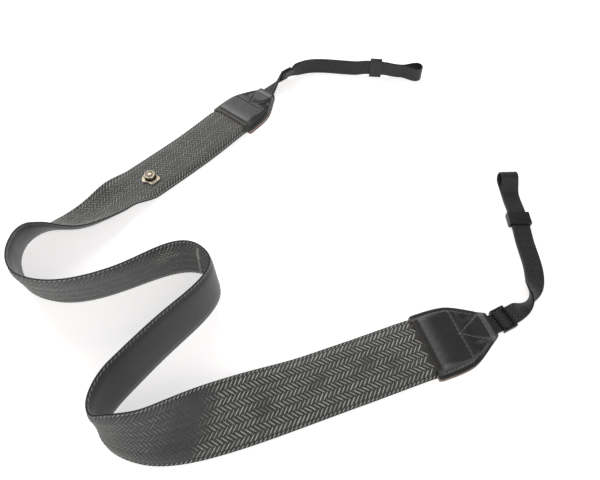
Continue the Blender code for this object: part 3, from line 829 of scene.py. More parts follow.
class WrapTree:
    """A geometry tree that sets floats out flat and wraps them on a laid surface."""

    name = "wrap"
    inputs: dict[str, float | int] = {}
    shape_inputs = {
        "Float Length": 0.002, "Float Width": 0.001, "Float Height": 0.0002, "Sink": 0.0001,
        "Points Along": 5, "Points Across": 4, "Turn Jitter": 0.0, "Size Jitter": 0.0, "Seed": 1,
    }

    def __init__(self) -> None:
        """Builds the tree with its named inputs."""
        self.tree = bpy.data.node_groups.new(self.name, "GeometryNodeTree")
        face = self.tree.interface
        face.new_socket("Geometry", in_out="OUTPUT", socket_type="NodeSocketGeometry")
        for name, kind in {"Geometry": "Geometry", "Surface": "Object", "Finish": "Material"}.items():
            face.new_socket(name, in_out="INPUT", socket_type=f"NodeSocket{kind}")
        for name, default in {**self.shape_inputs, **self.inputs}.items():
            kind = "NodeSocketInt" if isinstance(default, int) else "NodeSocketFloat"
            face.new_socket(name, in_out="INPUT", socket_type=kind).default_value = default
        self.sheet = NodeSheet(self.tree)
        self.entry = self.sheet.node("NodeGroupInput")
        feeds = {"Geometry": self.wrap(self.set_out()), "Material": self.given("Finish")}
        self.sheet.node("NodeGroupOutput", {0: self.sheet.out("GeometryNodeSetMaterial", feeds)})

    def given(self, name: str) -> Value:
        """One of the tree's own inputs."""
        return Value(self.sheet, self.entry.outputs[name])

    def random(self, low: float, high: float, offset: int) -> Value:
        """A random number for each float, fixed by the seed and an offset from it."""
        feeds = {"Min": low, "Max": high, "Seed": self.given("Seed") + offset}
        return self.sheet.out("FunctionNodeRandomValue", feeds, data_type="FLOAT")

    def store(self, geometry: Value, name: str, value: Value, kind: str, domain: str = "POINT") -> Value:
        """Keeps a value on each point or instance under a name."""
        feeds = {"Geometry": geometry, "Name": name, "Value": value}
        return self.sheet.out("GeometryNodeStoreNamedAttribute", feeds, data_type=kind, domain=domain)

    def stored(self, name: str, kind: str) -> Value:
        """A value kept under a name."""
        return self.sheet.out("GeometryNodeInputNamedAttribute", {"Name": name}, "Attribute", data_type=kind)

    def float_shape(self) -> Value:
        """The lozenge, lying along X: rounded across, tapered and lower at its ends.

        Returns:
            Its mesh.
        """
        sheet, given = self.sheet, self.given
        counts = {"Vertices X": given("Points Along"), "Vertices Y": given("Points Across")}
        cube = sheet.out("GeometryNodeMeshCube", {"Size": (2, 2, 2), "Vertices Z": 2, **counts}, "Mesh")
        x, y, z = sheet.parts(sheet.out("GeometryNodeInputPosition"))
        end = sheet.math("POWER", x, 4.0)
        taper = sheet.math("SQRT", end * -0.72 + 1.0)
        top = (y * y * -0.92 + 1.0) * (end * -0.75 + 1.0) * given("Float Height")
        bottom = given("Sink") * -1.0
        height = sheet.math("GREATER_THAN", z, 0.0) * (top - bottom) + bottom
        long, wide = x * 0.5 * given("Float Length"), y * 0.5 * given("Float Width")
        feeds = {"Geometry": cube, "Position": sheet.joined(long, wide * taper, height)}
        shaped = sheet.out("GeometryNodeSetPosition", feeds)
        return self.store(shaped, "strand", sheet.out("GeometryNodeInputPosition"), "FLOAT_VECTOR")

    def instances(self, points: Value, angle: Value) -> Value:
        """Puts a float on each point, turned by the angle and a little at random, and realizes them.

        Args:
            points: Where the floats lie, flat.
            angle: Their turn in the plane.

        Returns:
            The realized floats, each with a random tone.
        """
        sheet, given = self.sheet, self.given
        turn = angle + given("Turn Jitter") * self.random(-1.0, 1.0, 0)
        size = given("Size Jitter") * self.random(-1.0, 1.0, 1) + 1.0
        feeds = {
            "Points": points,
            "Instance": self.float_shape(),
            "Rotation": sheet.out("FunctionNodeEulerToRotation", {0: sheet.joined(0.0, 0.0, turn)}),
            "Scale": sheet.joined(size, size, size),
        }
        placed = sheet.out("GeometryNodeInstanceOnPoints", feeds)
        toned = self.store(placed, "tone", self.random(0.0, 1.0, 2), "FLOAT", "INSTANCE")
        return sheet.out("GeometryNodeRealizeInstances", {"Geometry": toned})

    def wrap(self, flat: Value) -> Value:
        """Moves flat geometry on to the surface: X along the cloth, Y across it and Z off it.

        Args:
            flat: The floats as they lie on the flat cloth.

        Returns:
            The floats on the surface.
        """
        sheet = self.sheet
        place = sheet.out("GeometryNodeInputPosition")
        kept = self.store(flat, "lay", place, "FLOAT_VECTOR")
        surface = sheet.out("GeometryNodeObjectInfo", {"Object": self.given("Surface")}, "Geometry")
        lay, facing = (self.stored(name, "FLOAT_VECTOR") for name in ("lay", "facing"))
        read = []
        for value in (place, facing):
            feeds = {"Mesh": surface, "Value": value, "UV Map": lay, "Sample UV": place}
            read.append(sheet.out("GeometryNodeSampleUVSurface", feeds, "Value", data_type="FLOAT_VECTOR"))
        off = sheet.scaled(read[1], sheet.parts(place)[2])
        feeds = {"Geometry": kept, "Position": sheet.vector("ADD", read[0], off)}
        moved = sheet.out("GeometryNodeSetPosition", feeds)
        return sheet.out("GeometryNodeSetShadeSmooth", {"Geometry": moved})

    def set_out(self) -> Value:
        """The floats where they lie on the flat cloth."""
        raise NotImplementedError

    def run(
        self,
        name: str,
        laid: Laid,
        material: bpy.types.Material,
        shape: FloatShape,
        sizes: dict[str, float | int],
        path: bpy.types.Mesh | None = None,
    ) -> bpy.types.Object:
        """Makes one piece of wrapped floats.

        Args:
            name: The piece's name.
            laid: The surface that it lies on.
            material: Its finish.
            shape: Size of one float.
            sizes: The tree's other inputs, by name.
            path: Flat lines that stitches follow, where the tree needs them.

        Returns:
            A plain mesh object.
        """
        faces = grid_faces(*laid.points.shape[:2])
        guide = make_object("guide", laid.points, faces, layers={"lay": laid.lay, "facing": laid.facing})
        host = add_object(name, path or bpy.data.meshes.new(name))
        given = dict(zip(self.shape_inputs, astuple(shape)))
        step = host.modifiers.new(self.name, "NODES")
        step.node_group = self.tree
        sockets = [item for item in self.tree.interface.items_tree if item.in_out == "INPUT"]
        identifiers = {socket.name: socket.identifier for socket in sockets}
        for label, value in {"Surface": guide, "Finish": material, **given, **sizes}.items():
            step[identifiers[label]] = value
        graph = bpy.context.evaluated_depsgraph_get()
        mesh = bpy.data.meshes.new_from_object(host.evaluated_get(graph), depsgraph=graph)
        for helper in (host, guide):
            bpy.data.objects.remove(helper, do_unlink=True)
        mesh.name = name
        return add_object(name, mesh)


class WeaveTree(WrapTree):
    """Rows of slanted or straight floats, each row leaning or starting otherwise than the next."""

    name = "weave"
    inputs = {
        "Columns": 10, "Rows": 3, "Pitch": 0.002, "Row Width": 0.002, "Start Along": 0.0,
        "Start Across": 0.0, "Lean": 0.0, "Next Row Lean": 0.0, "Next Row Start": 0.0,
    }

    def set_out(self) -> Value:
        """A grid of points whose every second row leans and starts differently.

        Returns:
            A float on each point.
        """
        sheet, given = self.sheet, self.given
        along = (given("Columns") - 1.0) * given("Pitch")
        across = (given("Rows") - 1.0) * given("Row Width")
        counts = {"Vertices X": given("Columns"), "Vertices Y": given("Rows")}
        grid = sheet.out("GeometryNodeMeshGrid", {"Size X": along, "Size Y": across, **counts}, "Mesh")
        x, y, _ = sheet.parts(sheet.out("GeometryNodeInputPosition"))
        from_start = across * 0.5 + y
        next_row = sheet.math("MODULO", sheet.math("ROUND", from_start / given("Row Width")), 2.0)
        x = along * 0.5 + x + given("Start Along") + next_row * given("Next Row Start")
        y = from_start + given("Start Across")
        lean = next_row * (given("Next Row Lean") - given("Lean")) + given("Lean")
        leaning = self.store(grid, "lean", lean, "FLOAT")
        feeds = {"Geometry": leaning, "Position": sheet.joined(x, y, 0.0)}
        return self.instances(sheet.out("GeometryNodeSetPosition", feeds), self.stored("lean", "FLOAT"))


class StitchTree(WrapTree):
    """Stitches at an even pitch along flat lines."""

    name = "stitches"
    inputs = {"Pitch": 0.0025, "Slant": 0.0}

    def set_out(self) -> Value:
        """Points along the lines.

        Returns:
            A stitch on each point.
        """
        sheet, given = self.sheet, self.given
        curve = sheet.out("GeometryNodeMeshToCurve", {"Mesh": given("Geometry")})
        feeds = {"Curve": curve, "Length": given("Pitch")}
        points = sheet.out("GeometryNodeResampleCurve", feeds, mode="LENGTH")
        x, y, _ = sheet.parts(sheet.out("GeometryNodeInputTangent"))
        return self.instances(points, sheet.math("ARCTAN2", y, x) + given("Slant"))


def flat_lines(name: str, lines: Sequence[Sequence[tuple[float, float]]]) -> bpy.types.Mesh:
    """Lines on the flat cloth that stitches follow.

    Args:
        name: The mesh's name.
        lines: Each line's corners, along and across.

    Returns:
        A mesh of edges.
    """
    points, edges = [], []
    for line in lines:
        first = len(points)
        points += [(x, y, 0.0) for x, y in line]
        edges += [(i, i + 1) for i in range(first, len(points) - 1)]
    mesh = bpy.data.meshes.new(name)
    mesh.from_pydata(points, edges, [])
    return mesh


# Finishes


class ShaderSheet(NodeSheet):
    """Writes a material's nodes around its Principled shader."""

    def __init__(self, name: str) -> None:
        """Makes the material.

        Args:
            name: Its name.
        """
        self.material = bpy.data.materials.new(name)
        self.material.use_nodes = True
        super().__init__(self.material.node_tree)
        self.shader = self.tree.nodes["Principled BSDF"]

    def set(self, **sockets: Feed) -> None:
        """Sets or feeds the shader's sockets, named with underscores for spaces."""
        for name, value in sockets.items():
            self.feed(self.shader.inputs[name.replace("_", " ")], value)

    def attribute(self, name: str, output: str = "Vector") -> Value:
        """A value stored on the piece's vertices."""
        return self.out("ShaderNodeAttribute", output=output, attribute_name=name)

    def place(self) -> Value:
        """The place on the object."""
        return self.out("ShaderNodeTexCoord", output="Object")

    def noise(self, place: Feed, scale: float, detail: float = 3.0, rough: float = 0.5) -> Value:
        """Soft noise from 0 to 1, at so many cells to the metre."""
        feeds = {"Vector": place, "Scale": scale, "Detail": detail, "Roughness": rough}
        return self.out("ShaderNodeTexNoise", feeds, "Fac")

    def mix(self, share: Feed, first: Feed, second: Feed) -> Value:
        """A colour between two, from the node's colour sockets."""
        made = self.node("ShaderNodeMix", {0: share, 6: first, 7: second}, data_type="RGBA")
        return Value(self, made.outputs[2])

    def between(self, value: Feed, low: float, high: float, start: float = 0.0, end: float = 1.0) -> Value:
        """The value from low to high spread smoothly over start to end."""
        feeds = {"Value": value, "From Min": low, "From Max": high, "To Min": start, "To Max": end}
        return self.out("ShaderNodeMapRange", feeds, interpolation_type="SMOOTHSTEP")

    def plies(self, twist: float, slope: float) -> Value:
        """Ridges from 0 to 1 of the plies that slant along a strand, one to each turn of its twist."""
        x, y, _ = self.parts(self.attribute("strand"))
        return self.math("SINE", (x + y * slope) * (2 * np.pi / twist)) * 0.5 + 0.5

    def bump(self, height: Feed, depth: float) -> Value:
        """A surface direction that stands for relief of that depth, in metres."""
        return self.out("ShaderNodeBump", {"Height": height, "Distance": depth, "Strength": 1.0})


@dataclass(frozen=True)
class Finish:
    """A surface finish with a name."""

    name: str

    def build(self) -> bpy.types.Material:
        """Makes the material.

        Returns:
            The material.
        """
        sheet = ShaderSheet(self.name)
        self.dress(sheet)
        return sheet.material

    def dress(self, sheet: ShaderSheet) -> None:
        """Writes the material's nodes."""
        raise NotImplementedError


class ContrastRow(NamedTuple):
    """How strongly the light yarn stands out at a place along the band, and the painted light there: a factor
    that makes the cloth brighter or darker.
    """

    along: float  # metres from the left end
    share: float
    # painted light and shade: brighter over the left turn and the second run, darker by the right turn and
    # just before the fourth run
    painted_light: float


CONTRAST_ROWS = tuple(
    ContrastRow(*row)
    for row in (
        (0.00, 0.62, 0.93), (0.12, 0.66, 1.0), (0.18, 0.50, 1.4), (0.23, 0.30, 1.2),
        (0.27, 0.20, 1.08), (0.325, 0.22, 0.92), (0.36, 0.20, 1.0), (0.39, 0.25, 1.0),
        (0.45, 0.34, 1.0), (0.515, 0.34, 0.95), (0.528, 0.06, 0.8), (0.541, 0.06, 0.8),
        (0.551, 0.95, 1.0), (0.62, 1.0, 1.0), (0.70, 0.95, 1.0),
    )
)


class PatchRow(NamedTuple):
    """A place where the light yarn stands out more or less than around it."""

    along: float
    across: float
    reach: float
    share: float


PATCH_ROWS = (
    PatchRow(0.3315, 0.0280, 0.0100, 1.0),
    PatchRow(0.580, 0.0165, 0.0075, 0.42),
    PatchRow(0.613, 0.0205, 0.0070, 0.45),
    PatchRow(0.643, 0.0200, 0.0075, 0.42),
    PatchRow(0.658, 0.0160, 0.0060, 0.50),
)


def contrast(sheet: ShaderSheet, lay: Value, length: float) -> tuple[Value, Value]:
    """How strongly the light yarn stands out: along the band by rows, and with soft patches; and the painted
    light along the band.

    Args:
        sheet: The material's nodes.
        lay: The place on the flat cloth.
        length: The band's length.

    Returns:
        That share, from 0 to 1, and the painted light, a factor on the cloth's colour.
    """
    u, v, _ = sheet.parts(lay)
    slant = v * -0.5 + (u + 0.011)
    stray = sheet.noise(lay, 110.0, 2.0) * 0.014 + (slant - 0.007)
    ramp = sheet.node("ShaderNodeValToRGB", {0: stray / length})
    stops = ramp.color_ramp.elements
    while len(stops) < len(CONTRAST_ROWS):
        stops.new(1.0)
    for stop, row in zip(stops, CONTRAST_ROWS):
        stop.position = row.along / length
        stop.color = (row.share, row.painted_light / 2, 0, 1)
    share, painted_light, _ = sheet.parts(Value(sheet, ramp.outputs["Color"]))
    edgy = sheet.noise(lay, 210.0, 4.0, 0.65) * 2.4 - 0.2
    for row in PATCH_ROWS:
        aside = sheet.vector("SUBTRACT", sheet.joined(slant, v, 0.0), (row.along, row.across, 0.0))
        away = sheet.vector("LENGTH", aside)
        weight = sheet.between(away * edgy, 0.25 * row.reach, row.reach, 1.0, 0.0)
        share = share + weight * (row.share - share)
    uneven = sheet.between(sheet.noise(lay, 95.0, 2.0, 0.6), 0.30, 0.48, 0.72, 1.0)
    return share * uneven, painted_light * 2.0


@dataclass(frozen=True)
class WovenGround(Finish):
    """The dark yarn under the herringbone's light floats, and the plain hem along both edges."""

    band: NeckBand
    # the dark yarn, used deepest in the grooves beside the floats as painted shade
    dark: Colour = srgb(20, 20, 20)
    middle: Colour = srgb(76, 76, 74)
    dull: Colour = srgb(68, 69, 69)
    hem: Colour = srgb(44, 44, 45)

    def dress(self, sheet: ShaderSheet) -> None:
        """Dark grooves and middling strokes between the floats, in step with them: the dark yarn, darkened
        further in the grooves as painted shade; and dull patches.

        Args:
            sheet: Its nodes.
        """
        band, lay = self.band, sheet.attribute("lay")
        u, v, _ = sheet.parts(lay)
        rows = (v - band.border) / band.row_width
        odd = sheet.math("MODULO", sheet.math("FLOOR", rows), 2.0)
        reach = band.row_width / float(np.tan(band.lean))
        skew = (sheet.math("FRACT", rows) - 0.5) * reach * (odd * -2.0 + 1.0)
        turn = (u - band.start - skew) * (2 * np.pi / band.pitch) + odd * np.pi
        stroke = sheet.math("COSINE", turn * 2.0) * 0.5 + 0.5
        share, painted_light = contrast(sheet, lay, band.layout.length)
        # painted shade: darkest in the grooves beside the floats, middling between them
        woven = sheet.mix(sheet.between(stroke, 0.45, 0.95), self.dark, self.middle)
        woven = sheet.mix(sheet.between(share, 0.03, 0.6), self.dull, woven)
        edge = sheet.math("MINIMUM", v, band.layout.width - v)
        inside = sheet.between(edge, band.border - 0.3 * MM, band.border + 0.3 * MM)
        yarn = sheet.noise(lay, 2600.0, 2.0, 0.6)
        # the yarn's speckle, times the painted light along the band
        speck_and_painted_light = sheet.between(yarn, 0.3, 0.7, 0.72, 1.25) * painted_light
        sheet.set(
            Base_Color=sheet.scaled(sheet.mix(inside, self.hem, woven), speck_and_painted_light),
            Roughness=0.52,
            Sheen_Weight=0.06,
            Sheen_Roughness=0.6,
            Specular_IOR_Level=0.62,
            Normal=sheet.bump(stroke * 0.8 + yarn, 0.00012),
        )


@dataclass(frozen=True)
class FloatYarn(Finish):
    """Light yarn of the herringbone's floats: twisted, with a tone of its own for each float."""

    length: float
    light: Colour = srgb(190, 190, 183)
    dull: Colour = srgb(72, 73, 73)
    twist: float = 0.0008  # length of one turn of the yarn

    def dress(self, sheet: ShaderSheet) -> None:
        """Bright or dull along the band, with painted light along it, and the plies' twist as fine relief and
        as painted shade between the plies.

        Args:
            sheet: Its nodes.
        """
        lay, tone = sheet.attribute("lay"), sheet.attribute("tone", "Fac")
        share, painted_light = contrast(sheet, lay, self.length)
        ridge = sheet.plies(self.twist, 1.4)
        fibre = sheet.noise(lay, 5200.0, 2.0, 0.6)
        # painted light along the band, each float's own tone, and painted shade between the plies
        tint = painted_light * (tone * 0.42 + 0.72) * (ridge * 0.3 + 0.82)
        tint = tint * sheet.between(fibre, 0.3, 0.7, 0.82, 1.15)
        sheet.set(
            Base_Color=sheet.scaled(sheet.mix(share, self.dull, self.light), tint),
            Roughness=0.52,
            Sheen_Weight=0.12,
            Sheen_Roughness=0.5,
            Specular_IOR_Level=0.62,
            Normal=sheet.bump(ridge + fibre, 0.00008),
        )


@dataclass(frozen=True)
class Brushed(Finish):
    """The smooth matte backing: short nap with soft cloudy shading, and lighter along its edges."""

    width: float
    colour: Colour = srgb(46, 47, 49)
    paler: Colour = srgb(54, 55, 56)

    def dress(self, sheet: ShaderSheet) -> None:
        """Clouds along the cloth, a fine nap and a lighter line at both edges.

        Args:
            sheet: Its nodes.
        """
        lay = sheet.attribute("lay")
        v = sheet.parts(lay)[1]
        clouds = sheet.between(sheet.noise(lay, 40.0, 3.0, 0.55), 0.25, 0.75, 0.86, 1.12)
        nap = sheet.noise(lay, 4200.0, 3.0, 0.65)
        edge = sheet.math("MINIMUM", v, self.width - v)
        colour = sheet.mix(sheet.between(edge, 0.0, 0.0011, 0.7, 0.0), self.colour, self.paler)
        sheet.set(
            Base_Color=sheet.scaled(colour, clouds * sheet.between(nap, 0.3, 0.7, 0.88, 1.1)),
            Roughness=0.65,
            Sheen_Weight=0.4,
            Sheen_Roughness=0.45,
            Specular_IOR_Level=0.3,
            Normal=sheet.bump(nap, 0.00006),
        )


@dataclass(frozen=True)
class Thread(Finish):
    """Sewing thread: two plies, a little shiny."""

    colour: Colour
    twist: float = 0.0006

    def dress(self, sheet: ShaderSheet) -> None:
        """Slanted plies along each stitch, with painted shade between them.

        Args:
            sheet: Its nodes.
        """
        ridge = sheet.plies(self.twist, 1.2)
        # the thread's own tone, with painted shade between the plies
        tint = (sheet.attribute("tone", "Fac") * 0.35 + 0.8) * (ridge * 0.35 + 0.75)
        sheet.set(
            Base_Color=sheet.scaled(self.colour, tint),
            Roughness=0.6,
            Sheen_Weight=0.2,
            Specular_IOR_Level=0.4,
            Normal=sheet.bump(ridge, 0.00008),
        )


@dataclass(frozen=True)
class GrainedLeather(Finish):
    """Black grained leather with painted shade along its seams, painted highlights where it is pressed and
    where it glints, and a raw tan edge where it is cut.
    """

    black: Colour = srgb(19, 19, 19)
    worn: Colour = srgb(37, 37, 36)
    # painted highlight: the lighter colour of the pressed strip and of the glints
    painted_highlight: Colour = srgb(96, 96, 95)
    raw: Colour = srgb(184, 160, 150)
    grain: float = 1150.0  # cells to the metre

    def dress(self, sheet: ShaderSheet) -> None:
        """Pebbled grain, fine creases, painted shade along the seams, painted highlights on the pressed strip
        and the glints, and the cut edge's fibres.

        Args:
            sheet: Its nodes.
        """
        lay = sheet.attribute("lay")
        cut, seam, press = (sheet.attribute(name, "Fac") for name in ("cut", "seam", "press"))
        feeds = {"Vector": lay, "Scale": self.grain}
        cells = sheet.out("ShaderNodeTexVoronoi", feeds, "Distance", feature="F1")
        crease, fine = sheet.noise(lay, 260.0, 4.0, 0.6), sheet.noise(lay, 3200.0, 2.0, 0.5)
        blotch = sheet.between(sheet.noise(lay, 130.0, 3.0, 0.6), 0.35, 0.75)
        surface = sheet.mix(blotch * 0.6, self.black, self.worn)
        streaks = sheet.noise(sheet.vector("MULTIPLY", lay, (0.35, 1.0, 1.0)), 900.0, 3.0, 0.6)
        # painted highlight in streaks, from the pressed strip and the glints
        highlight_share = press * sheet.between(streaks, 0.3, 0.7, 0.6, 1.1)
        # painted shade along the seams, where the leather is drawn in
        surface = sheet.scaled(sheet.mix(highlight_share, surface, self.painted_highlight), seam * -0.35 + 1.0)
        fibres = sheet.between(sheet.noise(lay, 1800.0, 3.0, 0.6), 0.3, 0.7, 0.75, 1.2)
        is_cut = sheet.between(cut, 0.48, 0.60, 1.0, 0.0)
        sheet.set(
            Base_Color=sheet.mix(is_cut, surface, sheet.scaled(self.raw, fibres)),
            Roughness=is_cut * 0.35 + (press * -0.08 + (sheet.noise(lay, 420.0) * 0.16 + 0.40)),
            Specular_IOR_Level=0.75,
            Normal=sheet.bump(fine * 0.25 + (crease * 1.2 - cells), 0.00014),
        )


@dataclass(frozen=True)
class Nylon(Finish):
    """Black nylon webbing: the ground or the floats."""

    colour: Colour = srgb(12, 12, 12)
    twist: float = 0.0009

    def dress(self, sheet: ShaderSheet) -> None:
        """Fine filaments along the yarn and a slight shine.

        Args:
            sheet: Its nodes.
        """
        u, v, _ = sheet.parts(sheet.attribute("lay"))
        filament = sheet.noise(sheet.joined(u * 0.25, v, 0.0), 9000.0, 2.0, 0.6)
        rib = sheet.math("SINE", u * (2 * np.pi / self.twist))
        sheet.set(
            Base_Color=sheet.scaled(self.colour, sheet.between(filament, 0.3, 0.7, 0.75, 1.25)),
            Roughness=0.5,
            Sheen_Weight=0.03,
            Sheen_Roughness=0.4,
            Specular_IOR_Level=0.7,
            Normal=sheet.bump(rib * 0.25 + filament, 0.00008),
        )


@dataclass(frozen=True)
class Moulded(Finish):
    """Black moulded plastic with a fine sand texture and rubbed spots."""

    colour: Colour = srgb(22, 22, 23)
    paler: Colour = srgb(40, 40, 41)

    def dress(self, sheet: ShaderSheet) -> None:
        """Fine texture and uneven gloss.

        Args:
            sheet: Its nodes.
        """
        place = sheet.place()
        rub = sheet.between(sheet.noise(place, 450.0, 3.0, 0.6), 0.45, 0.8)
        sheet.set(
            Base_Color=sheet.mix(rub, self.colour, self.paler),
            Roughness=sheet.noise(place, 900.0) * 0.2 + 0.3,
            Specular_IOR_Level=0.5,
            Normal=sheet.bump(sheet.noise(place, 7000.0, 2.0, 0.6), 0.00003),
        )


@dataclass(frozen=True)
class AgedBrass(Finish):
    """Cast brass: dark in its hollows and bright where it is rubbed."""

    bright: Colour = srgb(170, 160, 144)
    aged: Colour = srgb(82, 73, 62)

    def dress(self, sheet: ShaderSheet) -> None:
        """Patina by noise and by the height stored on the piece.

        Args:
            sheet: Its nodes.
        """
        place, raised = sheet.place(), sheet.attribute("raised", "Fac")
        bare = sheet.noise(place, 900.0, 4.0, 0.65) * 0.9 + (raised * 0.9 - 0.6)
        share = sheet.between(bare, 0.1, 0.6)
        sheet.set(
            Base_Color=sheet.mix(share, self.aged, self.bright),
            Metallic=1.0,
            Roughness=sheet.between(share, 0.0, 1.0, 0.55, 0.27),
            Normal=sheet.bump(sheet.noise(place, 1500.0, 3.0, 0.6), 0.00009),
        )


@dataclass(frozen=True)
class Tabletop(Finish):
    """The pale surface that the strap lies on."""

    colour: Colour = srgb(247, 246, 245)

    def dress(self, sheet: ShaderSheet) -> None:
        """Almost white, barely uneven.

        Args:
            sheet: Its nodes.
        """
        tint = sheet.between(sheet.noise(sheet.place(), 9.0), 0.2, 0.8, 0.985, 1.0)
        sheet.set(
            Base_Color=sheet.scaled(self.colour, tint),
            Roughness=0.75,
            Specular_IOR_Level=0.15,
            Emission_Color=(1.0, 0.985, 0.98),
            Emission_Strength=0.62,
        )


# Sub-assemblies


@dataclass
class Workshop:
    """The frame's solids, and the trees and finishes that every sub-assembly uses."""

    body: str
    nodes: dict[str, bpy.types.Object]

    def __post_init__(self) -> None:
        """Builds the trees and the finishes."""
        self.weave, self.stitches = WeaveTree(), StitchTree()
        self.nylon = Nylon("nylon_ground").build()
        self.nylon_float = Nylon("nylon_float", srgb(18, 18, 18)).build()
        self.leather = GrainedLeather("grained_leather").build()
        self.plastic = Moulded("moulded_plastic").build()
        self.brass = AgedBrass("aged_brass").build()
        # One thread in two copies of painted light: darker on the left tab as painted shade, lighter on the
        # right tab as painted sheen.
        self.leather_thread = {
            Side.LEFT: Thread("left_leather_thread", srgb(52, 52, 51)).build(),
            Side.RIGHT: Thread("right_leather_thread", srgb(122, 122, 119)).build(),
        }

    def settle(self, piece: bpy.types.Object, slot: Slot, *solids: str) -> None:
        """Hangs a finished piece on the strap's body, hides the solids that it replaces and logs its
        triangles.

        Args:
            piece: The finished piece.
            slot: The record's material slot; not used.
            *solids: Solids that it replaces.
        """
        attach(piece, self.body)
        if solids:
            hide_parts(*solids)
        triangles = sum(len(polygon.vertices) - 2 for polygon in piece.data.polygons)
        LOG.info("%s: %d triangles", piece.name, triangles)


